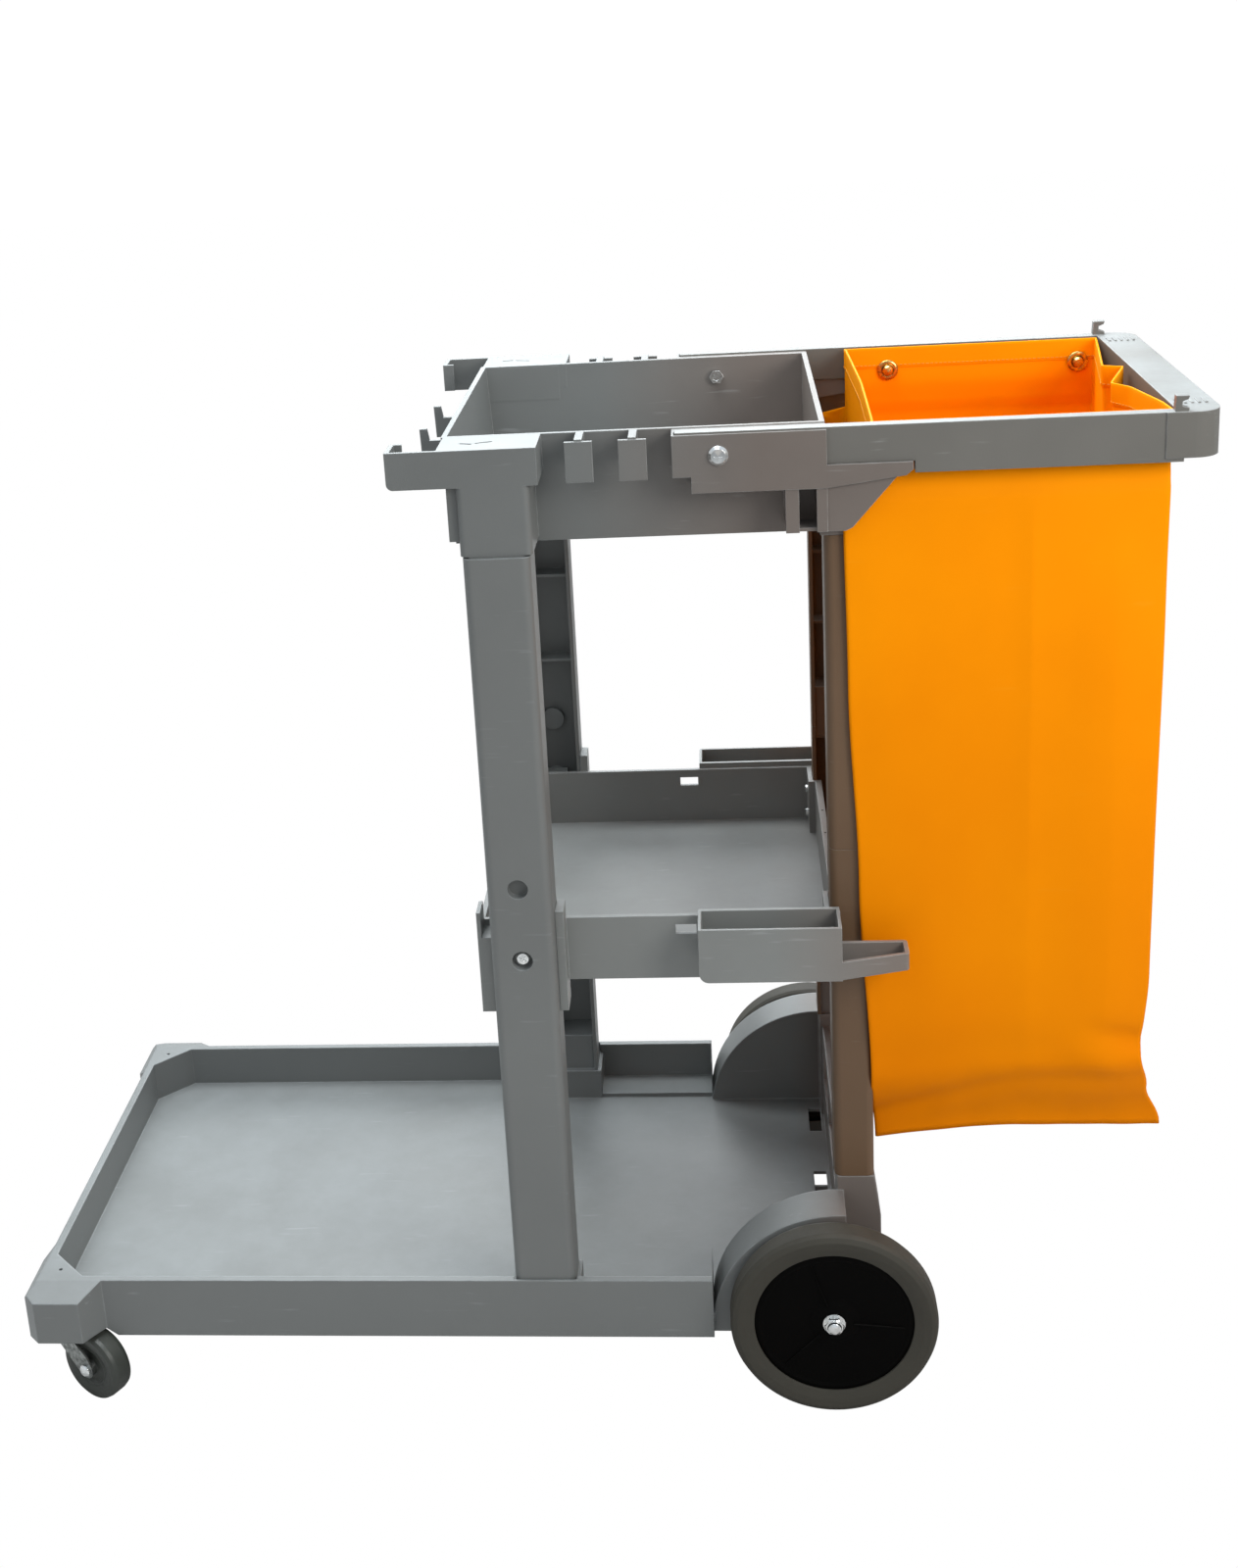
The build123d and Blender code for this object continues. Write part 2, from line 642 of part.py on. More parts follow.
def corner_bracket():
    """The C shaped bracket, the corner plate and the sleeve over a front post."""
    y1 = -bracket_outer_y
    top = block(tray_front_x + 2, bracket_end_x, -tray_rim_y + 1, y1, tray_top_z - corner_plate,
                tray_top_z)
    band = block(bracket_front_x, bracket_end_x, y1 + bracket_wall, y1, bracket_bottom_z, tray_top_z)
    corner_edges = band.edges().filter_by(Axis.Y).sort_by(Axis.X)[:2].sort_by(Axis.Z)[:1]
    band = fillet(corner_edges, 6)
    back = block(bracket_front_x, bracket_front_x + bracket_wall, y1 + 1, y1 + bracket_return,
                 bracket_bottom_z + 6, tray_top_z)
    lip = block(bracket_front_x, bracket_front_x + bracket_lip, y1 + bracket_return - bracket_wall,
                y1 + bracket_return, bracket_bottom_z + 6, tray_top_z)
    end = block(bracket_end_x - bracket_wall, bracket_end_x, y1 + 1, -tray_bottom_y - 1,
                bracket_bottom_z, tray_top_z - 1)
    seam_z = front_post_top_z + sleeve_seam_gap
    sleeve = block(sleeve_x, sleeve_end_x, -tray_bottom_y, y1, seam_z, bracket_bottom_z + 1)
    lower = sleeve.edges().filter_by(Axis.Z).sort_by(Axis.Y)[:2]
    sleeve = fillet(lower, 6)
    sleeve += block(sleeve_x, sleeve_end_x, -tray_bottom_y, y1 + 1, bracket_bottom_z, tray_top_z - 2)
    strip = block(strip_x, strip_end_x + 1.5, -tray_bottom_y, y1 + 8, strip_bottom_z, tray_top_z - 1)
    front = block(tray_front_x + 2, strip_x + 1, -tray_bottom_y, y1 + 1, bracket_bottom_z, tray_top_z - 1)
    solid = top + band + back + lip + end + sleeve + strip + front
    solid -= block(sleeve_x + 4, sleeve_end_x - 4, -tray_rim_y - 4, y1 + 4, seam_z - 1,
                   tray_top_z - corner_plate - 1)
    solid += front_tenon(seam_z - tenon_height, seam_z + 20)
    solid += block(sleeve_x + 1, sleeve_end_x - 1, -tray_rim_y - 2, y1 + 3, seam_z + 6, seam_z + 14)
    for x, y, turn, length in plate_slots:
        solid -= Pos(x, y, tray_top_z) * Rot(0, 0, turn) * Box(length, plate_slot_width, 3 * corner_plate)
    return solid


def front_hook(y):
    """A small J hook on the tray's front wall."""
    x0, x1 = tray_front_x - hook_length, tray_front_x + 4
    seat = tray_top_z - hook_drop
    return side_plate([(x0 + 1, seat - hook_depth), (x0, seat + hook_rise),
                       (x0 + hook_tip_width, seat + hook_rise), (x0 + hook_tip_width + 2, seat),
                       (x1, seat), (x1, seat - hook_depth)],
                      y - hook_thickness / 2, y + hook_thickness / 2)


def tool_tab(x):
    """A T shaped tool holder: a hanging plate on a narrow neck."""
    y1 = -tab_outer_y
    plate = block(x, x + tab_width, y1, y1 + tab_thickness, tab_bottom_z, tray_top_z - 2)
    neck_x = x + (tab_width - tab_neck_width) / 2
    neck = block(neck_x, neck_x + tab_neck_width, y1 + 1, -tray_rim_y + 2, tray_top_z - 14, tray_top_z)
    brace = cross_plate([(-tray_rim_y + 3.5, tray_top_z - 34), (-tray_rim_y + 3.5, tray_top_z - 6),
                         (y1 + 2, tray_top_z - 6)], neck_x, neck_x + tab_neck_width)
    return plate + neck + brace


def arm_sleeve():
    """The channel that takes a rail of the bag frame, with its ledge, ribs and gusset."""
    y1 = -arm_outer_y
    slot_y0 = -rail_outer_y + rail_width + seat_gap
    body = side_plate([(arm_x, arm_notch_z), (arm_notch_x, arm_notch_z), (arm_notch_x, arm_bottom_z),
                       (tray_end_x, arm_bottom_z), (tray_end_x, tray_top_z - 1),
                       (arm_x, tray_top_z - 1)], y1, -tray_bottom_y - 3)
    body -= block(rail_start_x - 1, tray_end_x + 1, slot_y0, -rail_outer_y - seat_gap,
                  rail_seat_z - seat_gap, tray_top_z)
    ledge_bottom = rail_seat_z - seat_gap - arm_ledge_thickness
    ledge = side_plate([(tray_end_x - 2, arm_bottom_z), (arm_ledge_end_x - 6, ledge_bottom),
                        (arm_ledge_end_x, ledge_bottom + 5), (arm_ledge_end_x, rail_seat_z - seat_gap),
                        (tray_end_x - 2, rail_seat_z - seat_gap)], y1, slot_y0 - 1)
    gusset = side_plate([(tray_end_x - 2, gusset_bottom_z), (gusset_end_x - 6, gusset_bottom_z),
                         (gusset_end_x, gusset_bottom_z + 3), (gusset_top_end_x, ledge_bottom + 3),
                         (tray_end_x - 2, ledge_bottom + 3)], y1 + 3, y1 + 8)
    inner_y = -tray_bottom_y - 2
    ribs = block(arm_rib_x, arm_rib_x + arm_rib_width, inner_y, y1 + 1, gusset_bottom_z, arm_bottom_z + 1)
    ribs += block(arm_end_rib_x, tray_end_x, inner_y, y1 + 1, gusset_bottom_z, arm_bottom_z + 1)
    shelf = block(arm_rib_x, tray_end_x, inner_y, y1 + 6, gusset_bottom_z, gusset_bottom_z + 3)
    return body + ledge + gusset + ribs + shelf


def rear_post_seat():
    """The tongue below the tray's end that a rear post is screwed to."""
    x1 = rear_post_x + rear_post_width
    cap = block(tray_end_x - 6, x1, -rear_post_inner_y, -rear_post_outer_y, rear_post_top_z + 0.5,
                gusset_bottom_z + 10)
    cap += block(tray_end_x - 6, gusset_end_x - 11, -rear_post_outer_y + 1, -arm_outer_y + 5,
                 gusset_bottom_z, gusset_bottom_z + 10)
    return cap + rear_tenon(rear_post_top_z - tenon_height, rear_post_top_z + 2)


def make_top_tray():
    body = tray_bowl()
    side = corner_bracket() + arm_sleeve() + rear_post_seat()
    side += front_hook(hook_y)
    for i in range(2):
        side += tool_tab(first_tab_x + i * tab_pitch)
    body += both_sides(side)
    cavity_low = (tray_front_x + tray_front_draft + tray_wall, tray_end_x - tray_wall,
                  tray_bottom_y - tray_wall)
    cavity_high = (tray_front_x + tray_wall, tray_end_x - tray_wall, tray_rim_y - tray_wall)
    body -= tapered_box(cavity_low, cavity_high, tray_bottom_z + tray_floor, tray_top_z + 1)
    body -= both_sides(rod_y(frame_bolt_radius + shaft_gap, frame_bolt_x, frame_bolt_z,
                             -arm_outer_y - 1, -tray_rim_y + 8))
    return body


# ---------------------------------------------------------------- bag frame

def frame_bar(inner_wall, bottom_z, top_z):
    """The U shaped outline of the frame in plan, as a solid bar; inner_wall shrinks it to a core."""
    w = inner_wall
    y_out, y_in = rail_outer_y - w, rail_outer_y - rail_width + w
    bar = block(rail_start_x + w, handle_x + 5, -y_out, -y_in, bottom_z, top_z)
    bar += other_side(bar)
    corner = block(handle_corner_x + w, handle_end_x - w, -handle_side_y + w, handle_side_y - w,
                   max(bottom_z, handle_bottom_z if w == 0 else bottom_z), top_z)
    upright = corner.edges().filter_by(Axis.Z).sort_by(Axis.X)[-2:]
    corner = fillet(upright, handle_corner_radius - w)
    opening = block(handle_corner_x - 5, handle_x + w, -y_in, y_in, bottom_z - 1, top_z + 1)
    return bar + (corner - opening)


def cleat(y_centre):
    """A C shaped hook on the frame's top, open towards the handle."""
    x0, x1 = cleat_x, cleat_x + cleat_width
    z0, z1 = rail_top_z - 1, rail_top_z + cleat_height
    outline = [(x0, z0), (x1, z0), (x1, z0 + 4), (x0 + 6, z0 + 6), (x0 + 6, z1 - 5), (x1 - 1, z1 - 3),
               (x1, z1), (x0 + 1, z1)]
    return side_plate(outline, y_centre - cleat_depth / 2, y_centre + cleat_depth / 2)


def make_bag_frame():
    solid = frame_bar(0.0, rail_bottom_z, rail_top_z)
    solid -= frame_bar(rail_wall, rail_bottom_z - 2, rail_top_z - rail_wall)
    solid -= both_sides(block(rail_start_x - 1, rail_notch_x, -rail_outer_y - 1,
                              -rail_outer_y + rail_width + 1, rail_bottom_z - 1, rail_seat_z))
    centre_y = rail_outer_y - rail_width / 2
    solid += both_sides(block(frame_bolt_x - 12, frame_bolt_x + 12, -centre_y - 5, -centre_y + 5,
                              rail_seat_z, rail_top_z - 1))
    for x in stud_x:
        solid += both_sides(block(x - 8, x + 8, -centre_y - 5, -centre_y + 5, stud_z - 10,
                                  rail_top_z - 1))
    solid += both_sides(cleat(-centre_y - 2))
    for i in range(grip_rib_count):
        x = handle_x + 5 + grip_rib_pitch * i
        solid += both_sides(block(x, x + 2.4, -168, -150, rail_top_z - 1, rail_top_z + grip_rib_height))
    solid -= both_sides(rod_y(frame_bolt_radius + shaft_gap, frame_bolt_x, frame_bolt_z,
                              -rail_outer_y - 1, -rail_outer_y + rail_width + 1))
    for x in stud_x:
        solid -= both_sides(rod_y(stud_radius + shaft_gap, x, stud_z, -centre_y - 3,
                                  -rail_outer_y + rail_width + 1))
    return solid


def make_frame_bolts():
    """Pan head bolts through the arm sleeves and rails."""
    y = -arm_outer_y
    bolt = rod_y(frame_bolt_radius, frame_bolt_x, frame_bolt_z, y, -tray_rim_y + 12)
    head = turned_y([(0, y), (9, y), (9, y - 1.5), (6.5, y - 4), (0, y - 4.6)], frame_bolt_x, frame_bolt_z)
    head -= block(frame_bolt_x - 4, frame_bolt_x + 4, y - 6, y - 2.8, frame_bolt_z - 0.8,
                  frame_bolt_z + 0.8)
    return both_sides(bolt + head)


def make_frame_nuts():
    """Nuts on the frame bolts, inside the tray."""
    slope = (tray_rim_y - tray_bottom_y) / (tray_top_z - tray_bottom_z)
    wall_y = -tray_rim_y + tray_wall + slope * (tray_top_z - frame_bolt_z) + 1.2
    nut = hex_y(13, frame_bolt_x, frame_bolt_z, wall_y, wall_y + 5)
    nut -= rod_y(frame_bolt_radius + shaft_gap, frame_bolt_x, frame_bolt_z, wall_y - 1, wall_y + 6)
    return both_sides(nut)


# ---------------------------------------------------------------- bag

def make_bag():
    low = (bag_bottom_x, bag_bottom_end_x, bag_bottom_side_y)
    high = (bag_x, bag_end_x, bag_side_y)
    outer = tapered_box(low, high, bag_bottom_z, bag_top_z)
    w = bag_wall
    low_in = (low[0] + w, low[1] - w, low[2] - w)
    high_in = (high[0] + w, high[1] - w, high[2] - w)
    bag = outer - tapered_box(low_in, high_in, bag_bottom_z + w, bag_top_z + 1)
    for x in stud_x:
        bag -= both_sides(rod_y(stud_radius + 2, x, stud_z, -bag_side_y - 3, -bag_side_y + 6))
    return bag


def bag_face_y():
    """The bag's outer side at the height of the studs."""
    share = (bag_top_z - stud_z) / (bag_top_z - bag_bottom_z)
    return bag_side_y - share * (bag_side_y - bag_bottom_side_y)


def make_bag_grommets():
    """Brass eyelets on the inside of the bag's hem."""
    face = -bag_face_y() + bag_wall + grommet_seat
    rings = None
    for x in stud_x:
        ring = turned_y([(grommet_hole_radius, face), (grommet_radius, face),
                         (grommet_radius - 2, face + grommet_thickness),
                         (grommet_hole_radius, face + grommet_thickness - 0.6)], x, stud_z)
        pair = both_sides(ring)
        rings = pair if rings is None else rings + pair
    return rings


def make_bag_studs():
    """Round headed studs of the frame, through the eyelets."""
    start = -rail_outer_y + rail_width / 2 - 2.5
    face = -bag_face_y() + bag_wall + grommet_seat + grommet_thickness
    studs = None
    for x in stud_x:
        stud = rod_y(stud_radius, x, stud_z, start, face + 5)
        stud += turned_y([(0, face + 1), (5.5, face + 1), (5.5, face + 3.5), (4, face + 6), (0, face + 6.6)],
                         x, stud_z)
        pair = both_sides(stud)
        studs = pair if studs is None else studs + pair
    return studs


# ---------------------------------------------------------------- screws and plugs

def make_shelf_screws():
    """Screws through the front posts into the shelf's clasps."""
    y = -front_post_outer_y + screw_recess_depth
    screw = rod_y(shelf_screw_radius, shelf_screw_x, shelf_screw_z, y, y + shelf_screw_length)
    head = turned_y([(0, y), (7.5, y), (7.5, y - 2.5), (5.5, y - 4.5), (0, y - 5)], shelf_screw_x,
                    shelf_screw_z)
    for turn in (30, 120):
        head -= Pos(shelf_screw_x, y - 4.5, shelf_screw_z) * Rot(0, turn, 0) * Box(8, 3, 1.5)
    return both_sides(screw + head)


def make_shelf_clips():
    """Short screws through the shelf's end notches into the rear posts."""
    x0 = rear_post_x - seat_gap - shelf_wall
    screws = None
    for z in clip_z:
        screw = rod_x(clip_radius, clip_y, z, x0, rear_post_x + post_wall + 4)
        screw += rod_x(2 * clip_radius, clip_y, z, x0 - 2.6, x0)
        pair = both_sides(screw)
        screws = pair if screws is None else screws + pair
    return screws


# ---------------------------------------------------------------- rear wheels

def make_tyre():
    """A solid tyre with rounded shoulders and a shallow step on each face."""
    y0, y1, r, s = -wheel_inner_y, -wheel_outer_y, wheel_radius, tyre_shoulder
    outline = [(tyre_inner_radius, y0 - 4), (r - 14, y0), (r - s, y0), (r - 2, y0 - 2.5), (r, y0 - s),
               (r, y1 + s), (r - 2, y1 + 2.5), (r - s, y1), (r - 14, y1 + 1), (tyre_inner_radius, y1 + 4)]
    return turned_y(outline, axle_x, wheel_z)


def make_disc():
    """The wheel disc: rim band, dished web and hub."""
    y_out, y_in = -disc_outer_y, -wheel_inner_y - 5
    r = tyre_inner_radius - 0.02
    t = disc_thickness
    outline = [(bush_radius + 0.02, -hub_inner_y), (hub_radius, -hub_inner_y),
               (hub_radius + 3, y_out + t + 4), (r - 8, y_out + t), (r - 6, y_in), (r, y_in),
               (r, y_out), (r - 5, y_out - 1.2), (r - 8, y_out), (hub_radius + 8, y_out + 3),
               (hub_radius, y_out), (hub_radius - 2, -hub_outer_y), (bush_radius + 0.02, -hub_outer_y)]
    return turned_y(outline, axle_x, wheel_z)


def make_bush():
    return turned_y([(axle_radius + shaft_gap, -hub_inner_y), (bush_radius, -hub_inner_y),
                     (bush_radius, -hub_outer_y), (axle_radius + shaft_gap, -hub_outer_y)],
                    axle_x, wheel_z)


def make_axle():
    """The stub axle: a plain shank in the housing's boss and a threaded end for the nut."""
    start = -housing_inner_y - 3
    return turned_y([(0, start), (axle_radius, start), (axle_radius, -washer_y + 0.2),
                     (axle_thread_radius, -washer_y + 0.2), (axle_thread_radius, -nut_y - 5),
                     (0, -nut_y - 5)], axle_x, wheel_z)


def make_washer():
    return turned_y([(axle_thread_radius + shaft_gap, -washer_y), (washer_radius, -washer_y),
                     (washer_radius, -washer_y - washer_thickness),
                     (axle_thread_radius + shaft_gap, -washer_y - washer_thickness)], axle_x, wheel_z)


def make_acorn_nut():
    """A domed cap nut."""
    y = -nut_y
    flat = hex_y(axle_nut_across_flats, axle_x, wheel_z, y - axle_nut_height, y)
    limit = turned_y([(0, y), (9.6, y), (9.6, y - axle_nut_height + 1.5), (8.2, y - axle_nut_height),
                      (0, y - axle_nut_height)], axle_x, wheel_z)
    dome = turned_y([(0, y - axle_nut_height + 1), (7.2, y - axle_nut_height + 1),
                     (7.2, y - axle_nut_height - 0.5), (6.4, y - axle_nut_height - 2.6),
                     (4.2, y - axle_nut_height - 4.2), (0, y - axle_nut_height - 4.8)], axle_x, wheel_z)
    nut = (flat & limit) + dome
    return nut - rod_y(axle_thread_radius + shaft_gap, axle_x, wheel_z, y + 1, y - 5.1)


# ---------------------------------------------------------------- casters

def placed_caster(solid):
    """Moves a caster piece from its kingpin at the origin to the left corner."""
    return Pos(caster_x, -caster_y, 0) * Rot(0, 0, -caster_angle) * solid


def make_caster_stem():
    """The stem pressed in the platform's tower, with the bearing cup and the riveted kingpin."""
    cup_top = floor_bottom_z - 0.1
    profile = [(0, crown_bottom_z - 4.3), (6, crown_bottom_z - 4.3), (7, crown_bottom_z - 3),
               (7, crown_bottom_z - fit_gap), (kingpin_radius, crown_bottom_z - fit_gap),
               (kingpin_radius, cup_bottom_z), (cup_radius - 2, cup_bottom_z),
               (cup_radius, cup_bottom_z + 1), (cup_radius, cup_top), (stem_radius, cup_top),
               (stem_radius, stem_top_z - 2), (stem_radius - 1, stem_top_z), (0, stem_top_z)]
    outline = make_face(Polyline(*[(r, 0, z) for r, z in profile], close=True))
    return placed_caster(revolve(outline, Axis.Z))


def make_caster_fork():
    """Pressed steel fork: a round crown and two tapering legs."""
    crown = rod_z(crown_radius, 0, 0, crown_bottom_z, crown_top_z)
    axle_z = caster_wheel_radius
    reach = 9.0
    outline = [(-11, crown_bottom_z + 0.6), (-10, crown_bottom_z - 8), (8, crown_bottom_z - 26),
               (caster_trail - reach, axle_z - 5), (caster_trail - 4, axle_z - reach),
               (caster_trail + 4, axle_z - reach), (caster_trail + reach, axle_z - 4),
               (caster_trail + reach, axle_z + 4), (caster_trail + 2, axle_z + 16),
               (20, crown_bottom_z - 9), (11, crown_bottom_z + 0.6)]
    leg = side_plate(outline, -fork_inner - fork_plate, -fork_inner)
    fork = crown + leg + other_side(leg)
    fork -= rod_z(kingpin_radius + shaft_gap, 0, 0, crown_bottom_z - 1, crown_top_z + 1)
    fork -= rod_y(caster_axle_radius + shaft_gap, caster_trail, axle_z, -40, 40)
    return placed_caster(fork)


def make_caster_tyre():
    w, r = caster_wheel_width / 2, caster_wheel_radius
    outline = [(caster_hub_radius, -w + 1.5), (r - 9, -w), (r - 4, -w), (r - 1, -w + 2), (r, -w + 6),
               (r, w - 6), (r - 1, w - 2), (r - 4, w), (r - 9, w), (caster_hub_radius, w - 1.5)]
    return placed_caster(turned_y(outline, caster_trail, caster_wheel_radius))


def make_caster_hub():
    w = caster_wheel_width / 2
    bore, rim = caster_axle_radius + shaft_gap, caster_hub_radius - 0.02
    outline = [(bore, -w - 0.9), (8, -w - 0.9), (9, -w + 3), (rim - 4, -w + 4.5), (rim - 2, -w + 1.5),
               (rim, -w + 1.5), (rim, w - 1.5), (rim - 2, w - 1.5), (rim - 4, w - 4.5), (9, w - 3),
               (8, w + 0.9), (bore, w + 0.9)]
    return placed_caster(turned_y(outline, caster_trail, caster_wheel_radius))


def make_caster_bolt():
    x, z = caster_trail, caster_wheel_radius
    face = fork_inner + fork_plate
    bolt = rod_y(caster_axle_radius, x, z, -face, face + caster_nut_height + 1.5)
    head = turned_y([(0, -face), (6.5, -face), (6.5, -face - 2), (5, -face - 3.6), (0, -face - 4)], x, z)
    return placed_caster(bolt + head)


def make_caster_nut():
    x, z = caster_trail, caster_wheel_radius
    face = fork_inner + fork_plate
    nut = hex_y(caster_nut_across_flats, x, z, face, face + caster_nut_height)
    nut -= rod_y(caster_axle_radius + shaft_gap, x, z, face - 1, face + caster_nut_height + 1)
    return placed_caster(nut)


# ---------------------------------------------------------------- all pieces

def write(name, solid):
    export_step(solid, f"parts/{name}.step")


def main():
    os.makedirs("parts", exist_ok=True)
    single = {
        "base_platform": make_base_platform,
        "middle_shelf": make_middle_shelf,
        "top_tray": make_top_tray,
        "bag_frame": make_bag_frame,
        "frame_bolts": make_frame_bolts,
        "frame_nuts": make_frame_nuts,
        "bag": make_bag,
        "bag_grommets": make_bag_grommets,
        "bag_studs": make_bag_studs,
        "shelf_screws": make_shelf_screws,
        "shelf_clips": make_shelf_clips,
    }
    paired = {
        "front_post": make_front_post,
        "rear_post_lower": make_rear_post_lower,
        "rear_post_upper": make_rear_post_upper,
        "wheel_tyre": make_tyre,
        "wheel_disc": make_disc,
        "wheel_bush": make_bush,
        "wheel_axle": make_axle,
        "wheel_washer": make_washer,
        "wheel_nut": make_acorn_nut,
        "caster_stem": make_caster_stem,
        "caster_fork": make_caster_fork,
        "caster_tyre": make_caster_tyre,
        "caster_hub": make_caster_hub,
        "caster_bolt": make_caster_bolt,
        "caster_nut": make_caster_nut,
    }
    for name, make in single.items():
        write(name, make())
    for name, make in paired.items():
        solid = make()
        write(name + "_left", solid)
        write(name + "_right", other_side(solid))


main()
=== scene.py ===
"""Looks of a housekeeping cart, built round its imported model. Metres, +X to the push handle, +Z up."""
import math
import bpy
import bmesh
from mathutils import Matrix, Vector, noise


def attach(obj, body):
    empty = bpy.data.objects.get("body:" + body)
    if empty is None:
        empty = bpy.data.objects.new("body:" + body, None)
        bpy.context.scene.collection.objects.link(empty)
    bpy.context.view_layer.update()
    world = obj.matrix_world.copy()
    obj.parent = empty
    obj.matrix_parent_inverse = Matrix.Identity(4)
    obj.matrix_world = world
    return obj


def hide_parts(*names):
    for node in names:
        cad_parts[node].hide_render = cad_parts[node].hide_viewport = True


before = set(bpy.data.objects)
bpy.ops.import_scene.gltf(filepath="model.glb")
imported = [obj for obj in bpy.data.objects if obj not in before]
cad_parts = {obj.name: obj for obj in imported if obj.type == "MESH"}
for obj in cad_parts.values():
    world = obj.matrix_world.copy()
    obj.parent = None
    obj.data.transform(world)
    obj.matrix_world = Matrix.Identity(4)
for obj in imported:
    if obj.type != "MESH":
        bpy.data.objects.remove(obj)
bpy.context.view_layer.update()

SIDES = (("left", -1), ("right", 1))


# ---------------------------------------------------------------- camera, light and floor

CAMERA_PLACE = (0.1539, -1.9533, 1.3691)
CAMERA_PAN, CAMERA_PITCH, CAMERA_ROLL = -6.22, 17.54, -3.77     # degrees
CAMERA_LENS, CAMERA_SHIFT = 46.24, (0.0638, -0.1002)


def place_camera():
    """A camera above the cart's left side, slightly rolled."""
    pan, pitch, roll = (math.radians(angle) for angle in (CAMERA_PAN, CAMERA_PITCH, CAMERA_ROLL))
    forward = Vector((math.sin(pan) * math.cos(pitch), math.cos(pan) * math.cos(pitch), -math.sin(pitch)))
    level = Vector((math.cos(pan), -math.sin(pan), 0))
    above = level.cross(forward)
    right = level * math.cos(roll) + above * math.sin(roll)
    up = above * math.cos(roll) - level * math.sin(roll)
    place = Matrix((right, up, -forward)).transposed().to_4x4()
    place.translation = CAMERA_PLACE
    lens = bpy.data.cameras.new("studio_camera")
    lens.lens, lens.sensor_width = CAMERA_LENS, 36.0
    lens.shift_x, lens.shift_y = CAMERA_SHIFT
    camera = bpy.data.objects.new("studio_camera", lens)
    camera.matrix_world = place
    bpy.context.scene.collection.objects.link(camera)
    bpy.context.scene.camera = camera


def softbox(name, place, aim, size, power, colour):
    """A round area lamp at one place, aimed at another."""
    lamp = bpy.data.lights.new(name, "AREA")
    lamp.shape, lamp.size, lamp.energy, lamp.color = "DISK", size, power, colour
    box = bpy.data.objects.new(name, lamp)
    box.location = place
    box.rotation_euler = (Vector(aim) - Vector(place)).to_track_quat("-Z", "Y").to_euler()
    bpy.context.scene.collection.objects.link(box)


# ---------------------------------------------------------------- node helpers

def add(tree, kind, settings=None, **values):
    """Adds a node. Each value is a number, a colour or another node's socket. Its name is the
    input's, with _ for a space, or i0, i1 and so on for an input by number."""
    node = tree.nodes.new("ShaderNode" + kind)
    for key, value in (settings or {}).items():
        setattr(node, key, value)
    for key, value in values.items():
        by_number = key[0] == "i" and key[1:].isdigit()
        socket = node.inputs[int(key[1:]) if by_number else key.replace("_", " ")]
        if isinstance(value, bpy.types.NodeSocket):
            tree.links.new(value, socket)
        else:
            socket.default_value = value
    return node


def sums(tree, operation, first, second=0.0, clamp=False):
    return add(tree, "Math", {"operation": operation, "use_clamp": clamp}, i0=first, i1=second).outputs[0]


def scaled_sum(tree, value, share, addend):
    """value * share + addend"""
    return add(tree, "Math", {"operation": "MULTIPLY_ADD"}, i0=value, i1=share, i2=addend).outputs[0]


def blend_colour(tree, factor, first, second, kind="MIX"):
    mix = add(tree, "Mix", {"data_type": "RGBA", "blend_type": kind}, i0=factor, i6=first, i7=second)
    return mix.outputs[2]


def rescale(tree, value, low, high, new_low=0.0, new_high=1.0):
    return add(tree, "MapRange", None, Value=value, From_Min=low, From_Max=high, To_Min=new_low,
               To_Max=new_high).outputs[0]


def shader_group(name, inputs, outputs):
    """A node group with named sockets. Returns it with its input and output nodes."""
    tree = bpy.data.node_groups.new(name, "ShaderNodeTree")
    for label, kind, default in inputs:
        socket = tree.interface.new_socket(name=label, in_out="INPUT", socket_type="NodeSocket" + kind)
        socket.default_value = default
    for label, kind in outputs:
        tree.interface.new_socket(name=label, in_out="OUTPUT", socket_type="NodeSocket" + kind)
    return tree, tree.nodes.new("NodeGroupInput"), tree.nodes.new("NodeGroupOutput")


def place_group(tree, group, **values):
    """Adds a shader group, with its sockets set as add() sets a node's."""
    node = tree.nodes.new("ShaderNodeGroup")
    node.node_tree = group
    for key, value in values.items():
        socket = node.inputs[key.replace("_", " ")]
        if isinstance(value, bpy.types.NodeSocket):
            tree.links.new(value, socket)
        else:
            socket.default_value = value
    return node


def object_point(tree):
    return add(tree, "TexCoord").outputs["Object"]


# ---------------------------------------------------------------- shader groups

def make_edge_highlight_and_wear():
    """Rounded edges for the light to catch, and a broken mask along them that paints highlights and wear on
    the edges.
    """
    tree, given, result = shader_group(
        "edge_highlight_and_wear", [("Radius", "Float", 0.001), ("Contrast", "Float", 3.0), ("Breakup", "Float", 60.0)],
        [("Mask", "Float"), ("Normal", "Vector")])
    rounded = add(tree, "Bevel", {"samples": 6}, Radius=given.outputs["Radius"]).outputs[0]
    flat = add(tree, "NewGeometry").outputs["Normal"]
    facing = add(tree, "VectorMath", {"operation": "DOT_PRODUCT"}, i0=rounded, i1=flat).outputs["Value"]
    edge = sums(tree, "MULTIPLY", sums(tree, "SUBTRACT", 1.0, facing), given.outputs["Contrast"])
    patches = add(tree, "TexNoise", None, Vector=object_point(tree), Scale=given.outputs["Breakup"],
                  Detail=3.0).outputs[0]
    broken = sums(tree, "MULTIPLY", edge, rescale(tree, patches, 0.38, 0.62, 0.35, 1.0), clamp=True)
    tree.links.new(broken, result.inputs["Mask"])
    tree.links.new(rounded, result.inputs["Normal"])
    return tree


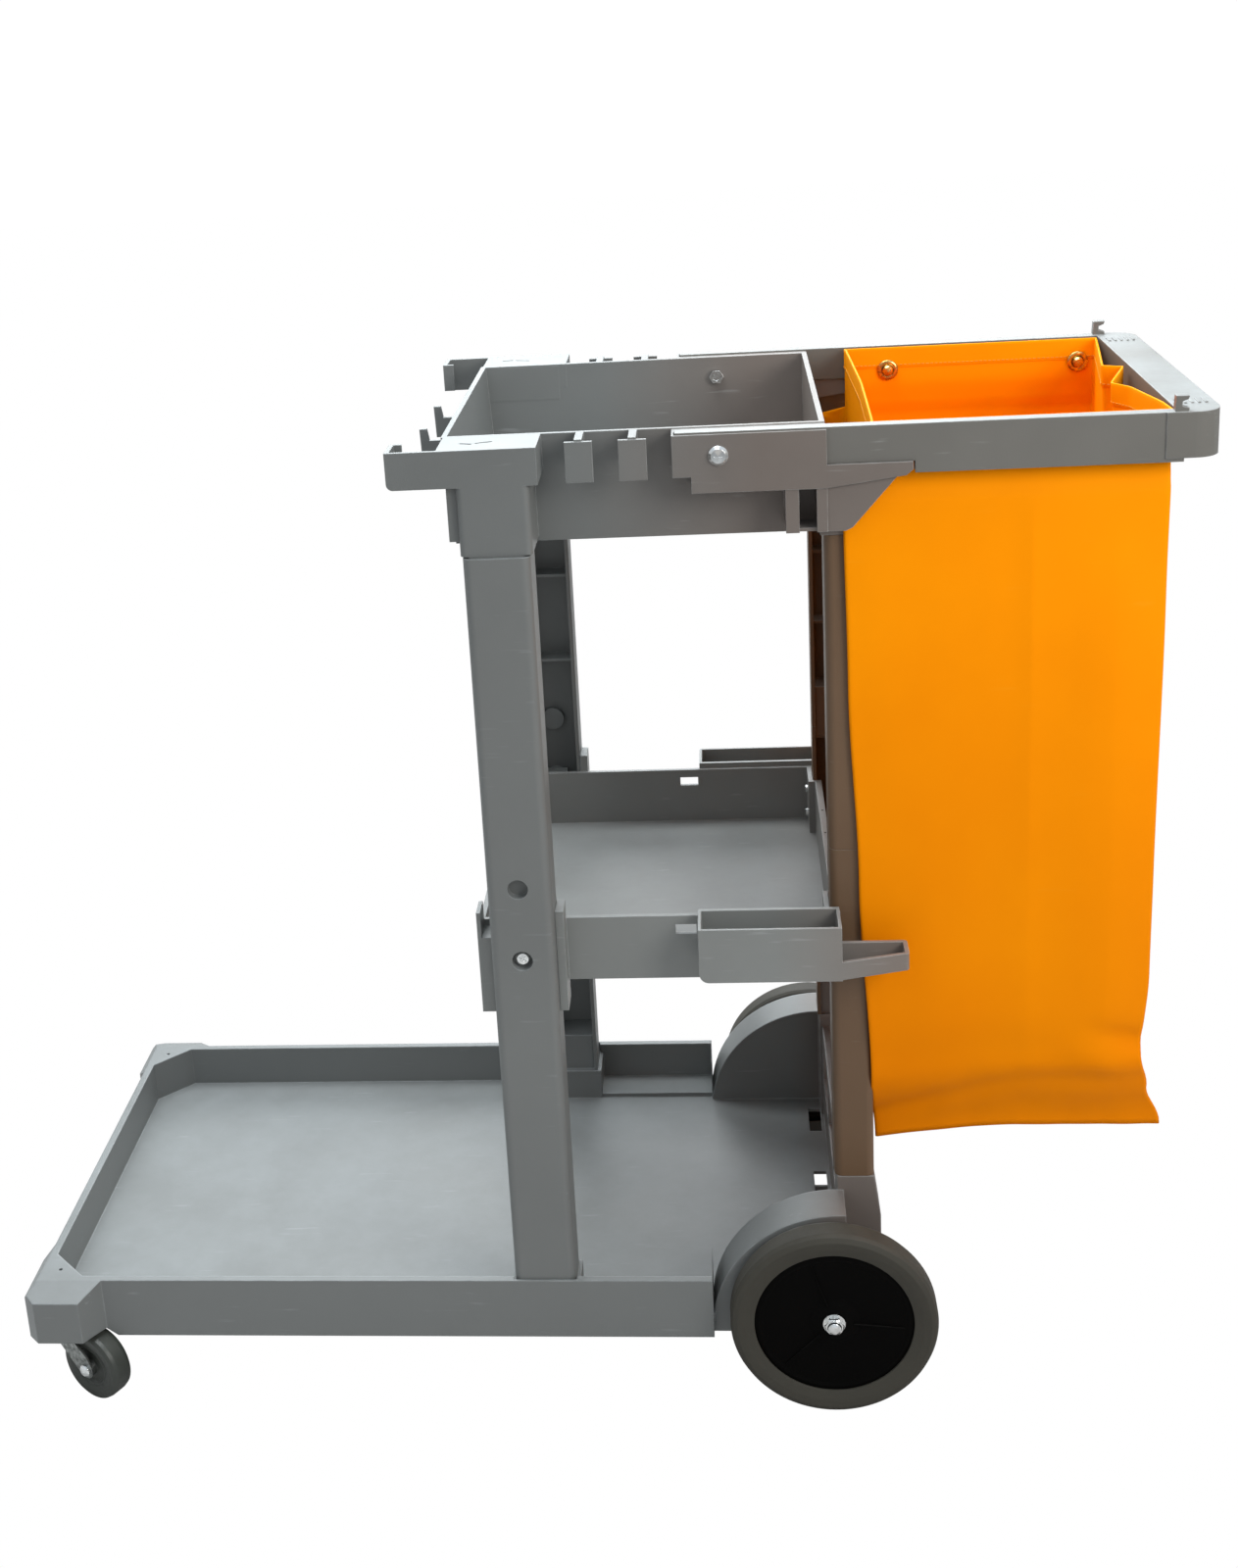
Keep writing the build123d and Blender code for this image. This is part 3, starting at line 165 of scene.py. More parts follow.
def make_mould_grain():
    """Fine pebbled texture of a moulding, its slow waviness, and cloudy patches of tone."""
    tree, given, result = shader_group(
        "mould_grain",
        [("Grain Scale", "Float", 900.0), ("Wave Scale", "Float", 14.0), ("Wave Share", "Float", 0.4)],
        [("Height", "Float"), ("Clouds", "Float")])
    point = object_point(tree)
    grain_scale = given.outputs["Grain Scale"]
    pebbles = add(tree, "TexVoronoi", None, Vector=point, Scale=grain_scale).outputs[0]
    fine = add(tree, "TexNoise", None, Vector=point, Scale=grain_scale, Detail=2.0).outputs[0]
    wave = add(tree, "TexNoise", None, Vector=point, Scale=given.outputs["Wave Scale"], Detail=1.0).outputs[0]
    grain = scaled_sum(tree, pebbles, 0.5, fine)
    height = scaled_sum(tree, wave, given.outputs["Wave Share"], grain)
    clouds = add(tree, "TexNoise", None, Vector=point, Scale=5.0, Detail=4.0, Roughness=0.6).outputs[0]
    tree.links.new(height, result.inputs["Height"])
    tree.links.new(rescale(tree, clouds, 0.3, 0.7), result.inputs["Clouds"])
    return tree


def make_dust_and_top_light():
    """Dust on what faces up, thicker in patches; with the pale tint it also paints sky light on top faces."""
    tree, given, result = shader_group(
        "dust_and_top_light", [("Amount", "Float", 0.2), ("Patch Scale", "Float", 9.0)], [("Mask", "Float")])
    normal = add(tree, "NewGeometry").outputs["Normal"]
    upward = add(tree, "SeparateXYZ", None, i0=normal).outputs["Z"]
    patches = add(tree, "TexNoise", None, Vector=object_point(tree), Scale=given.outputs["Patch Scale"],
                  Detail=5.0, Roughness=0.65).outputs[0]
    lying = sums(tree, "MULTIPLY", rescale(tree, upward, 0.4, 1.0),
                 rescale(tree, patches, 0.35, 0.75, 0.25, 1.0))
    mask = sums(tree, "MULTIPLY", lying, given.outputs["Amount"], clamp=True)
    tree.links.new(mask, result.inputs["Mask"])
    return tree


def make_scuffs():
    """Fine rub marks, drawn out along the cart's length and gathered in patches."""
    tree, given, result = shader_group("scuffs", [("Scale", "Float", 30.0), ("Rarity", "Float", 0.66)],
                                       [("Mask", "Float")])
    point = object_point(tree)
    drawn_out = add(tree, "VectorMath", {"operation": "MULTIPLY"}, i0=point, i1=(1.0, 9.0, 12.0)).outputs[0]
    scale = given.outputs["Scale"]
    streaks = add(tree, "TexNoise", None, Vector=drawn_out, Scale=scale, Detail=1.0).outputs[0]
    line = add(tree, "MapRange", None, Value=streaks, From_Min=given.outputs["Rarity"],
               From_Max=0.76).outputs[0]
    gate = add(tree, "TexNoise", None, Vector=point, Scale=scale, Detail=2.0).outputs[0]
    tree.links.new(sums(tree, "MULTIPLY", line, rescale(tree, gate, 0.5, 0.65)), result.inputs["Mask"])
    return tree


def make_coated_weave():
    """Plain weave pressed through a vinyl coat, read from the cloth's own map in metres."""
    tree, given, result = shader_group("coated_weave", [("Threads", "Float", 900.0)],
                                       [("Height", "Float"), ("Shade", "Float")])
    cloth = add(tree, "UVMap", {"uv_map": "cloth"}).outputs[0]
    across = add(tree, "TexWave", {"bands_direction": "X"}, Vector=cloth, Scale=given.outputs["Threads"],
                 Distortion=0.6, Detail=1.0).outputs[1]
    along = add(tree, "TexWave", {"bands_direction": "Y"}, Vector=cloth, Scale=given.outputs["Threads"],
                Distortion=0.6, Detail=1.0).outputs[1]
    threads = sums(tree, "MULTIPLY", across, along)
    point = object_point(tree)
    soft = add(tree, "TexNoise", None, Vector=point, Scale=22.0, Detail=3.0, Roughness=0.5).outputs[0]
    shade = add(tree, "TexNoise", None, Vector=point, Scale=4.0, Detail=3.0).outputs[0]
    tree.links.new(scaled_sum(tree, threads, 0.12, soft), result.inputs["Height"])
    tree.links.new(rescale(tree, shade, 0.3, 0.7), result.inputs["Shade"])
    return tree


def make_painted_bag_bounce():
    """Painted warm light bounced from the orange bag onto the plastic, growing towards the bag."""
    tree, given, result = shader_group("painted_bag_bounce", [("Start", "Float", 0.05), ("End", "Float", 0.22)],
                                       [("Mask", "Float")])
    point = object_point(tree)
    x = add(tree, "SeparateXYZ", None, i0=point).outputs["X"]
    drift = add(tree, "TexNoise", None, Vector=point, Scale=12.0, Detail=2.0).outputs[0]
    place = scaled_sum(tree, drift, 0.03, x)
    share = add(tree, "MapRange", None, Value=place, From_Min=given.outputs["Start"],
                From_Max=given.outputs["End"]).outputs[0]
    tree.links.new(share, result.inputs["Mask"])
    return tree


def make_lower_painted_shade():
    """Painted shade that deepens down the bag, unevenly, as the light falls off towards the bottom."""
    tree, given, result = shader_group("lower_painted_shade", [("Foot", "Float", 0.27), ("Clear", "Float", 0.9)],
                                       [("Mask", "Float")])
    point = object_point(tree)
    height = add(tree, "SeparateXYZ", None, i0=point).outputs["Z"]
    drift = add(tree, "TexNoise", None, Vector=point, Scale=6.0, Detail=2.0).outputs[0]
    place = scaled_sum(tree, drift, 0.08, height)
    share = add(tree, "MapRange", None, Value=place, From_Min=given.outputs["Clear"],
                From_Max=given.outputs["Foot"]).outputs[0]
    tree.links.new(share, result.inputs["Mask"])
    return tree


edge_highlight_and_wear = make_edge_highlight_and_wear()
lower_painted_shade = make_lower_painted_shade()
painted_bag_bounce = make_painted_bag_bounce()
mould_grain = make_mould_grain()
dust_and_top_light = make_dust_and_top_light()
scuffs = make_scuffs()
coated_weave = make_coated_weave()


# ---------------------------------------------------------------- materials

def new_material(name):
    material = bpy.data.materials.new(name)
    material.use_nodes = True
    tree = material.node_tree
    tree.nodes.clear()
    surface = tree.nodes.new("ShaderNodeBsdfPrincipled")
    output = tree.nodes.new("ShaderNodeOutputMaterial")
    tree.links.new(surface.outputs[0], output.inputs["Surface"])
    return material, tree, surface


BAG_BOUNCE_TINT = (1.0, 0.8, 0.72, 1)           # painted warm light bounced from the orange bag onto the plastic
# pale blue-grey on what faces up: dust, and painted sky light on top faces
PALE_DUST_AND_SKY_LIGHT = (0.52, 0.56, 0.58, 1)
RUBBER_DUST = (0.3, 0.29, 0.26, 1)
DISC_DUST = (0.2, 0.19, 0.17, 1)
CREASE_WEAR = (1.0, 0.45, 0.05, 1)
# painted shade for the bag's lower part, where the light falls off
BAG_LOWER_SHADE = (0.82, 0.72, 0.7, 1)


def moulded_plastic(name, dark, light, edge, roughness=0.42, dust=0.2, round_edge=0.0012, bounce_span=None):
    """Satin moulded plastic: two close tones, pale edges painted as highlights and wear, scuffs, dust with
    painted sky light where it lies flat, and painted warm bounce from the bag where asked.
    """
    material, tree, surface = new_material(name)
    grain = place_group(tree, mould_grain)
    edges = place_group(tree, edge_highlight_and_wear, Radius=round_edge, Contrast=2.2)
    upward_dust_and_light = place_group(tree, dust_and_top_light, Amount=dust)
    marks = place_group(tree, scuffs, Scale=22.0)
    tone = blend_colour(tree, grain.outputs["Clouds"], dark, light)
    # Painted warm bounce light from the orange bag, growing towards it.
    if bounce_span:
        bag_bounce = place_group(tree, painted_bag_bounce, Start=bounce_span[0], End=bounce_span[1])
        tone = blend_colour(tree, bag_bounce.outputs["Mask"], tone, BAG_BOUNCE_TINT, "MULTIPLY")
    # Pale edges: painted highlights along the edges, broken up as wear.
    tone = blend_colour(tree, sums(tree, "MULTIPLY", edges.outputs["Mask"], 0.6), tone, edge)
    tone = blend_colour(tree, sums(tree, "MULTIPLY", marks.outputs["Mask"], 0.1), tone, edge)
    # Pale blue-grey on what faces up: dust, and painted sky light on top faces.
    tone = blend_colour(tree, upward_dust_and_light.outputs["Mask"], tone, PALE_DUST_AND_SKY_LIGHT)
    clean_rough = rescale(tree, grain.outputs["Clouds"], 0.0, 1.0, roughness - 0.05, roughness + 0.06)
    rough = scaled_sum(tree, upward_dust_and_light.outputs["Mask"], 0.35, clean_rough)
    bump = add(tree, "Bump", None, Strength=0.35, Distance=0.0002, Height=grain.outputs["Height"],
               Normal=edges.outputs["Normal"])
    tree.links.new(tone, surface.inputs["Base Color"])
    tree.links.new(rough, surface.inputs["Roughness"])
    tree.links.new(bump.outputs[0], surface.inputs["Normal"])
    surface.inputs["Specular IOR Level"].default_value = 0.45
    return material


def plated_metal(name, bright, dull, roughness):
    """Plated or polished metal with soft tarnish and fine handling marks."""
    material, tree, surface = new_material(name)
    edges = place_group(tree, edge_highlight_and_wear, Radius=0.0004, Contrast=1.5, Breakup=300.0)
    marks = place_group(tree, scuffs, Scale=90.0, Rarity=0.6)
    stain = add(tree, "TexNoise", None, Vector=object_point(tree), Scale=220.0, Detail=4.0,
                Roughness=0.6)
    share = rescale(tree, stain.outputs[0], 0.42, 0.68)
    tone = blend_colour(tree, share, bright, dull)
    rough = rescale(tree, share, 0.0, 1.0, roughness, roughness + 0.22)
    scratched = scaled_sum(tree, marks.outputs["Mask"], 0.2, rough)
    bump = add(tree, "Bump", None, Strength=0.15, Distance=0.0001, Height=stain.outputs[0],
               Normal=edges.outputs["Normal"])
    tree.links.new(tone, surface.inputs["Base Color"])
    tree.links.new(scratched, surface.inputs["Roughness"])
    tree.links.new(bump.outputs[0], surface.inputs["Normal"])
    surface.inputs["Metallic"].default_value = 1.0
    return material


def rolled_rubber(name, dark, light, roughness, dust):
    """Matte rubber or soft plastic with a bloom of dust, small nicks and painted highlights on its edges."""
    material, tree, surface = new_material(name)
    grain = place_group(tree, mould_grain, Grain_Scale=1400.0, Wave_Scale=60.0, Wave_Share=0.8)
    edges = place_group(tree, edge_highlight_and_wear, Radius=0.0015, Contrast=2.0, Breakup=120.0)
    upward_dust_and_light = place_group(tree, dust_and_top_light, Amount=dust, Patch_Scale=40.0)
    tone = blend_colour(tree, grain.outputs["Clouds"], dark, light)
    # Edges lightened: wear, and painted highlight.
    tone = blend_colour(tree, sums(tree, "MULTIPLY", edges.outputs["Mask"], 0.4), tone, light)
    tone = blend_colour(tree, upward_dust_and_light.outputs["Mask"], tone, RUBBER_DUST)
    bump = add(tree, "Bump", None, Strength=0.4, Distance=0.0002, Height=grain.outputs["Height"],
               Normal=edges.outputs["Normal"])
    tree.links.new(tone, surface.inputs["Base Color"])
    tree.links.new(rescale(tree, grain.outputs["Clouds"], 0.0, 1.0, roughness, roughness + 0.12),
                   surface.inputs["Roughness"])
    tree.links.new(bump.outputs[0], surface.inputs["Normal"])
    return material


def coated_vinyl(name, deep, full, thread_strength):
    """Vinyl-coated cloth: even colour, soft creases, faint weave, a low sheen and painted shade deepening
    towards the bottom.
    """
    material, tree, surface = new_material(name)
    weave = place_group(tree, coated_weave)
    marks = place_group(tree, scuffs, Scale=14.0, Rarity=0.68)
    tone = blend_colour(tree, weave.outputs["Shade"], deep, full)
    tone = blend_colour(tree, sums(tree, "MULTIPLY", marks.outputs["Mask"], 0.08), tone, CREASE_WEAR)
    # Painted shade: the bag darkens towards its bottom, where less light reaches it.
    lower_shade = place_group(tree, lower_painted_shade)
    tone = blend_colour(tree, lower_shade.outputs["Mask"], tone, BAG_LOWER_SHADE, "MULTIPLY")
    bump = add(tree, "Bump", None, Strength=thread_strength, Distance=0.0012,
               Height=weave.outputs["Height"])
    tree.links.new(tone, surface.inputs["Base Color"])
    tree.links.new(rescale(tree, weave.outputs["Shade"], 0.0, 1.0, 0.5, 0.6), surface.inputs["Roughness"])
    tree.links.new(bump.outputs[0], surface.inputs["Normal"])
    surface.inputs["Specular IOR Level"].default_value = 0.03
    return material


def dark_disc(name):
    """Black moulded wheel disc, nearly matte, with a little dust."""
    material, tree, surface = new_material(name)
    grain = place_group(tree, mould_grain, Grain_Scale=1100.0)
    edges = place_group(tree, edge_highlight_and_wear, Radius=0.001, Contrast=2.0, Breakup=140.0)
    upward_dust_and_light = place_group(tree, dust_and_top_light, Amount=0.1, Patch_Scale=60.0)
    tone = blend_colour(tree, grain.outputs["Clouds"], (0.0008, 0.0007, 0.0006, 1),
                        (0.0018, 0.0016, 0.0014, 1))
    # Edges lightened a little: wear, and painted highlight.
    tone = blend_colour(tree, sums(tree, "MULTIPLY", edges.outputs["Mask"], 0.3), tone,
                        (0.04, 0.038, 0.035, 1))
    tone = blend_colour(tree, upward_dust_and_light.outputs["Mask"], tone, DISC_DUST)
    bump = add(tree, "Bump", None, Strength=0.3, Distance=0.0002, Height=grain.outputs["Height"],
               Normal=edges.outputs["Normal"])
    tree.links.new(tone, surface.inputs["Base Color"])
    tree.links.new(rescale(tree, grain.outputs["Clouds"], 0.0, 1.0, 0.5, 0.62), surface.inputs["Roughness"])
    tree.links.new(bump.outputs[0], surface.inputs["Normal"])
    surface.inputs["Specular IOR Level"].default_value = 0.04
    return material


# The third colour of each plastic, its pale edge tone, paints highlights along the edges, with wear.
deck_grey = moulded_plastic("deck_grey", (0.152, 0.158, 0.155, 1), (0.166, 0.173, 0.17, 1),
                            (0.6, 0.63, 0.64, 1), dust=0.16, round_edge=0.0024, bounce_span=(0.225, 0.265))
post_grey = moulded_plastic("post_grey", (0.148, 0.153, 0.15, 1), (0.166, 0.172, 0.168, 1),
                            (0.5, 0.53, 0.54, 1), roughness=0.46)
# Rear posts: the same grey plastic, darkened and warmed: painted shade behind the bag and painted orange
# bounce from it.
post_shade_and_bounce = moulded_plastic("post_shade_and_bounce", (0.118, 0.066, 0.033, 1), (0.138, 0.08, 0.042, 1),
                             (0.4, 0.34, 0.28, 1), roughness=0.5)
shelf_grey = moulded_plastic("shelf_grey", (0.19, 0.196, 0.19, 1), (0.22, 0.227, 0.22, 1),
                             (0.75, 0.77, 0.77, 1), bounce_span=(0.2, 0.32))
tray_grey = moulded_plastic("tray_grey", (0.146, 0.152, 0.149, 1), (0.166, 0.173, 0.17, 1),
                            (0.75, 0.78, 0.78, 1), bounce_span=(0.04, 0.2))
# The bag frame's warm tones are painted bounce light from the orange bag.
frame_grey_painted_bounce = moulded_plastic("frame_grey_painted_bounce", (0.13, 0.124, 0.112, 1), (0.146, 0.14, 0.127, 1),
                             (0.75, 0.76, 0.76, 1), roughness=0.38, dust=0.4, round_edge=0.0016)
zinc = plated_metal("zinc_plate", (0.66, 0.68, 0.67, 1), (0.42, 0.44, 0.42, 1), 0.24)
fork_steel = plated_metal("fork_steel", (0.3, 0.31, 0.3, 1), (0.12, 0.125, 0.12, 1), 0.3)
chrome = plated_metal("bright_chrome", (0.86, 0.87, 0.87, 1), (0.62, 0.63, 0.62, 1), 0.08)
brass = plated_metal("aged_brass", (0.72, 0.5, 0.17, 1), (0.34, 0.21, 0.06, 1), 0.2)
tyre_rubber = rolled_rubber("tyre_rubber", (0.026, 0.023, 0.016, 1), (0.04, 0.036, 0.026, 1),
                            roughness=0.62, dust=0.08)
caster_rubber = rolled_rubber("caster_rubber", (0.028, 0.031, 0.026, 1), (0.045, 0.05, 0.042, 1),
                              roughness=0.36, dust=0.1)
disc_black = dark_disc("disc_black")
bag_vinyl = coated_vinyl("bag_vinyl", (0.93, 0.268, 0.0004, 1), (1.0, 0.315, 0.0006, 1), 0.22)
hem_vinyl = coated_vinyl("hem_vinyl", (0.9, 0.27, 0.0006, 1), (0.98, 0.335, 0.001, 1), 0.2)
sewing_thread = rolled_rubber("sewing_thread", (0.75, 0.3, 0.01, 1), (0.9, 0.4, 0.02, 1),
                              roughness=0.7, dust=0.0)


def finish_nodes(material, *names):
    """Gives CAD nodes their material."""
    for name in names:
        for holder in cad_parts[name].material_slots:
            holder.material = material


def both(name):
    return [f"{name}_left", f"{name}_right"]


finish_nodes(deck_grey, "base_platform")
finish_nodes(shelf_grey, "middle_shelf")
finish_nodes(tray_grey, "top_tray")
finish_nodes(frame_grey_painted_bounce, "bag_frame")
finish_nodes(post_grey, *both("front_post"))
finish_nodes(post_shade_and_bounce, *both("rear_post_lower"), *both("rear_post_upper"))
finish_nodes(chrome, "frame_bolts", "frame_nuts", "shelf_screws", "shelf_clips", *both("wheel_washer"),
             *both("wheel_nut"), *both("caster_bolt"), *both("caster_nut"))
finish_nodes(zinc, *both("wheel_axle"), *both("caster_stem"))
finish_nodes(fork_steel, *both("caster_fork"))
finish_nodes(brass, "bag_grommets", "bag_studs")
finish_nodes(tyre_rubber, *both("wheel_tyre"))
finish_nodes(disc_black, *both("wheel_disc"), *both("wheel_bush"))
finish_nodes(caster_rubber, *both("caster_tyre"), *both("caster_hub"))


# ---------------------------------------------------------------- bag

HEM_Z = 0.985            # top edge of the bag
SEAM_Z = 0.257           # bottom edge of the near panel at its middle
TRAY_END_X = 0.2865      # the panel beside the rear posts
HANDLE_END_X = 0.5445    # the panel beside the push handle, at the hem
FOLD_GAP = 0.0036        # between the near panel and the side fold's inner layer

FACET_START = 0.84       # share of the near panel where it turns towards the handle
FACET_TURN = 0.0095
CENTRE_CREASE_X = 0.4265 # where the bag was folded when it was packed
BELLY = 0.0018           # how far the near and far panels stand out at their fullest

PANEL_POINTS, HANDLE_END_POINTS, TRAY_END_POINTS = 112, 72, 46
FOLD_SHARES = (0.66, 0.33, 0.0)
SKIN_LEVELS, FLOOR_STEPS = 118, 14
FLOOR_LIFT = 0.022       # the gathered floor's rise over the bottom seam
FLOOR_LINE_X = (0.405, 0.447)
MAP_LEVEL, MAP_COLUMN = 40, 10   # ring and column that the cloth's map is measured along

HEM_DEPTH, HEM_ROWS = 0.0215, 6
STITCH_Z = HEM_Z - 0.018
STITCH_PITCH = 0.0046
STITCH_SIZE = (0.0031, 0.0006, 0.0009)
STITCH_STANDOFF = 0.00115

STUD_X, STUD_Z = (0.330, 0.526), 0.962
EYELET_Y = 0.1792
EYELET_RADIUS, EYELET_ROLL = 0.0079, 0.0029

AXLE_X, AXLE_Z = 0.235, 0.1015
DISC_FACE_Y = 0.2581
DISC_RIB_ANGLES = (225, 355, 108)
DISC_RIB_SIZE, DISC_RIB_REACH = (0.05, 0.001, 0.0012), 0.044


def along(stops, value):
    """Smooth value between (place, value) stops that go down in place."""
    if value >= stops[0][0]:
        return stops[0][1]
    for (high, a), (low, b) in zip(stops, stops[1:]):
        if value >= low:
            share = (high - value) / (high - low)
            return a + (b - a) * share * share * (3 - 2 * share)
    return stops[-1][1]


def side_fold_x(z):
    """Left edge of the near panel, which folds out in front of the rear post."""
    return along(((0.9235, 0.2855), (0.917, 0.2588), (0.741, 0.2612), (0.544, 0.2688),
                  (0.334, 0.2787), (SEAM_Z, 0.285)), z)


def handle_edge_x(z):
    """Right edge of the near panel: nearly plumb, pinched above the corner, then flared."""
    return along(((HEM_Z, HANDLE_END_X), (0.9, 0.5455), (0.825, 0.5462), (0.538, 0.5435),
                  (0.436, 0.543), (0.352, 0.5375), (0.31, 0.547), (SEAM_Z, 0.565)), z)


def panel_y(z):
    """How far the near and far panels stand from the middle."""
    return along(((HEM_Z, 0.182), (0.95, 0.182), (0.925, 0.1854), (0.916, 0.1888), (0.88, 0.1895),
                  (0.4, 0.1895), (0.352, 0.187), (SEAM_Z, 0.15)), z)


def gusset_depth(z):
    """How far the end panels fold inwards at their middle."""
    return along(((0.92, 0.004), (0.7, 0.018), (0.45, 0.024), (0.35, 0.04), (SEAM_Z, 0.095)), z)


# corners of the pleated hem beside the handle, from far to near
HEM_PLEATS = ((HANDLE_END_X, 0.182), (0.534, 0.105), (0.5235, 0.03), (0.5415, 0.021),
              (0.516, -0.056), (0.529, -0.078), (0.5425, -0.15), (HANDLE_END_X, -0.182))


def handle_end_path(z, count):
    """Plan line of the panel beside the handle, from near to far, pleated at the hem."""
    pleated = along(((HEM_Z, 1.0), (0.93, 0.85), (0.72, 0.0)), z)
    depth, wide = gusset_depth(z), panel_y(z)
    edge = handle_edge_x(z)
    points = []
    for i in range(count):
        share = i / (count - 1)
        place = share * (len(HEM_PLEATS) - 1)
        k = min(int(place), len(HEM_PLEATS) - 2)
        part = place - k
        x_near, y_near = HEM_PLEATS[-1 - k]
        x_far, y_far = HEM_PLEATS[-2 - k]
        hem = Vector((x_near + (x_far - x_near) * part, y_near + (y_far - y_near) * part))
        y = wide * (2 * share - 1)
        plain = Vector((edge - depth * (1 - abs(y) / wide) ** 0.9, y))
        points.append(plain.lerp(hem, pleated))
    return points


def tray_end_path(z, count):
    """Plan line of the panel beside the tray, from far to near, with the side folds' inner layers."""
    depth, wide = 0.8 * gusset_depth(z), panel_y(z) - FOLD_GAP
    points = []
    for i in range(count):
        y = wide * (1 - 2 * i / (count - 1))
        points.append(Vector((TRAY_END_X + depth * (1 - abs(y) / wide) ** 0.9, y)))
    return points


def near_path(z, count):
    """Plan line of the near panel from its side fold to the handle edge, slightly bellied."""
    start, end, wide = side_fold_x(z), handle_edge_x(z), panel_y(z)
    belly = along(((0.93, 0.0), (0.82, 1.0), (0.4, 1.0), (0.33, 0.3), (SEAM_Z, 0.0)), z)
    points = []
    for i in range(count):
        share = i / (count - 1)
        y = wide + belly * BELLY * math.sin(math.pi * min(share * 1.4, 1.0))
        turned = max(0.0, share - FACET_START) / (1 - FACET_START)
        y -= belly * FACET_TURN * turned ** 1.25
        points.append(Vector((start + (end - start) * share, -y)))
    return points


def mirrored(points):
    return [Vector((p.x, -p.y)) for p in reversed(points)]


def bag_ring(z):
    """One level of the bag as plan points, always the same count."""
    tip, wide = side_fold_x(z), panel_y(z)
    near = near_path(z, PANEL_POINTS)
    end_share = abs(near[-1].y) / wide       # the turned facet ends nearer the middle
    handle = [Vector((p.x, p.y * (end_share if abs(p.y) > 0.1 else 1.0)))
              for p in handle_end_path(z, HANDLE_END_POINTS)[1:-1]]
    fold = [Vector((tip + (TRAY_END_X - tip) * share, -(wide - FOLD_GAP + 0.0016 * (1 - share))))
            for share in FOLD_SHARES]
    return near + handle + mirrored(near) + mirrored(fold) + tray_end_path(z, TRAY_END_POINTS) + fold


def bump_over(distance, width):
    """A round bump, 1 at its middle, that fades out over a width."""
    return math.exp(-(distance / width) ** 2)


def creased(point):
    """Moves a point of the bag by its long soft folds, its packing creases and the seam's puckers."""
    x, y, z = point
    free = along(((0.95, 0.0), (0.86, 1.0)), z)
    low = along(((0.42, 0.0), (0.3, 1.0)), z)
    side = -1 if y < 0 else 1
    on_panel = min(1.0, max(0.0, (abs(y) - 0.12) / 0.04))
    seed = 3.1 if side < 0 else 11.7
    sway = noise.noise(Vector((x * 9, z * 1.7, seed))) * 0.0030
    sway += noise.noise(Vector((x * 26, z * 4.0, seed + 5))) * 0.0009
    sway += noise.noise(Vector((x * 30, z * 22, seed + 9))) * 0.0012 * low
    fade = along(((0.8, 1.0), (0.45, 0.55), (0.3, 0.2)), z)
    crease = 0.0019 * math.exp(-abs(x - CENTRE_CREASE_X) / 0.011) * fade
    pinch = z - 0.372 + 0.32 * (x - 0.52)    # both lines slant down towards the handle
    under = z - 0.335 + 0.5 * (x - 0.52)
    dimple = 0.0055 * bump_over(pinch, 0.011) * bump_over(x - 0.527, 0.03)
    swell = 0.003 * bump_over(under, 0.02) * bump_over(x - 0.5, 0.035)
    arch = 0.0045 * low * bump_over(z - 0.29 - 0.25 * min(x - 0.285, 0.14), 0.014)
    y += side * free * on_panel * (sway + crease - dimple + swell - arch)
    end = (1 - on_panel) * free
    x += end * noise.noise(Vector((y * 14, z * 3.0, 21.3))) * 0.004
    return Vector((x, y, z))


def near_bottom_z(x):
    """The bottom edge droops at the tray side and a little at the handle side."""
    share = (x - 0.285) / 0.28
    return SEAM_Z - 0.0135 * max(0.0, 1 - share * 2.0) ** 1.4 - 0.002 * max(0.0, share - 0.5)


def skin_rings():
    """The bag's rings of points from the hem down to the bottom seam, creased and smoothed."""
    rings = []
    for k in range(SKIN_LEVELS + 1):
        z = HEM_Z - (HEM_Z - SEAM_Z) * (k / SKIN_LEVELS)
        low = along(((0.6, 0.0), (SEAM_Z, 1.0)), z)
        ring = [creased((plan.x, plan.y, z)) + Vector((0, 0, (near_bottom_z(plan.x) - SEAM_Z) * low))
                for plan in bag_ring(z)]
        count = len(ring)
        if k > 0:
            ring = [ring[i] * 0.5 + (ring[i - 1] + ring[(i + 1) % count]) * 0.25 for i in range(count)]
        rings.append(ring)
    return rings


def floor_rings(bottom):
    """The floor panel, gathered from the bottom seam to a short line over its middle."""
    rings = []
    for j in range(1, FLOOR_STEPS + 1):
        share = j / FLOOR_STEPS
        rise = FLOOR_LIFT * math.sin(share * math.pi / 2)
        ring = []
        for p in bottom:
            line_x = min(max(p.x, FLOOR_LINE_X[0]), FLOOR_LINE_X[1])
            centre = Vector((line_x, 0.0, SEAM_Z + FLOOR_LIFT))
            moved = p.lerp(centre, share)
            moved.z = p.z + (centre.z - p.z) * share ** 2 + rise * (1 - share) * 0.4
            pucker = noise.noise(Vector((moved.x * 24, moved.y * 24, 2.0)))
            moved.z += 0.003 * pucker * math.sin(math.pi * share)
            ring.append(moved)
        rings.append(ring)
    return rings


def running_length(points):
    """How far along a line each of its points lies."""
    run = [0.0]
    for a, b in zip(points, points[1:]):
        run.append(run[-1] + (b - a).length)
    return run


def skin_between(mesh, rings, spot_at):
    """Faces between closed rings of points, mapped on the cloth by spot_at(column, row)."""
    cloth = mesh.loops.layers.uv.new("cloth")
    made = [[mesh.verts.new(p) for p in ring] for ring in rings]
    count = len(rings[0])
    for k in range(len(rings) - 1):
        for i in range(count):
            n = (i + 1) % count
            face = mesh.faces.new((made[k][i], made[k + 1][i], made[k + 1][n], made[k][n]))
            face.smooth = True
            for loop, spot in zip(face.loops, ((i, k), (i, k + 1), (i + 1, k + 1), (i + 1, k))):
                loop[cloth].uv = spot_at(*spot)
    return made


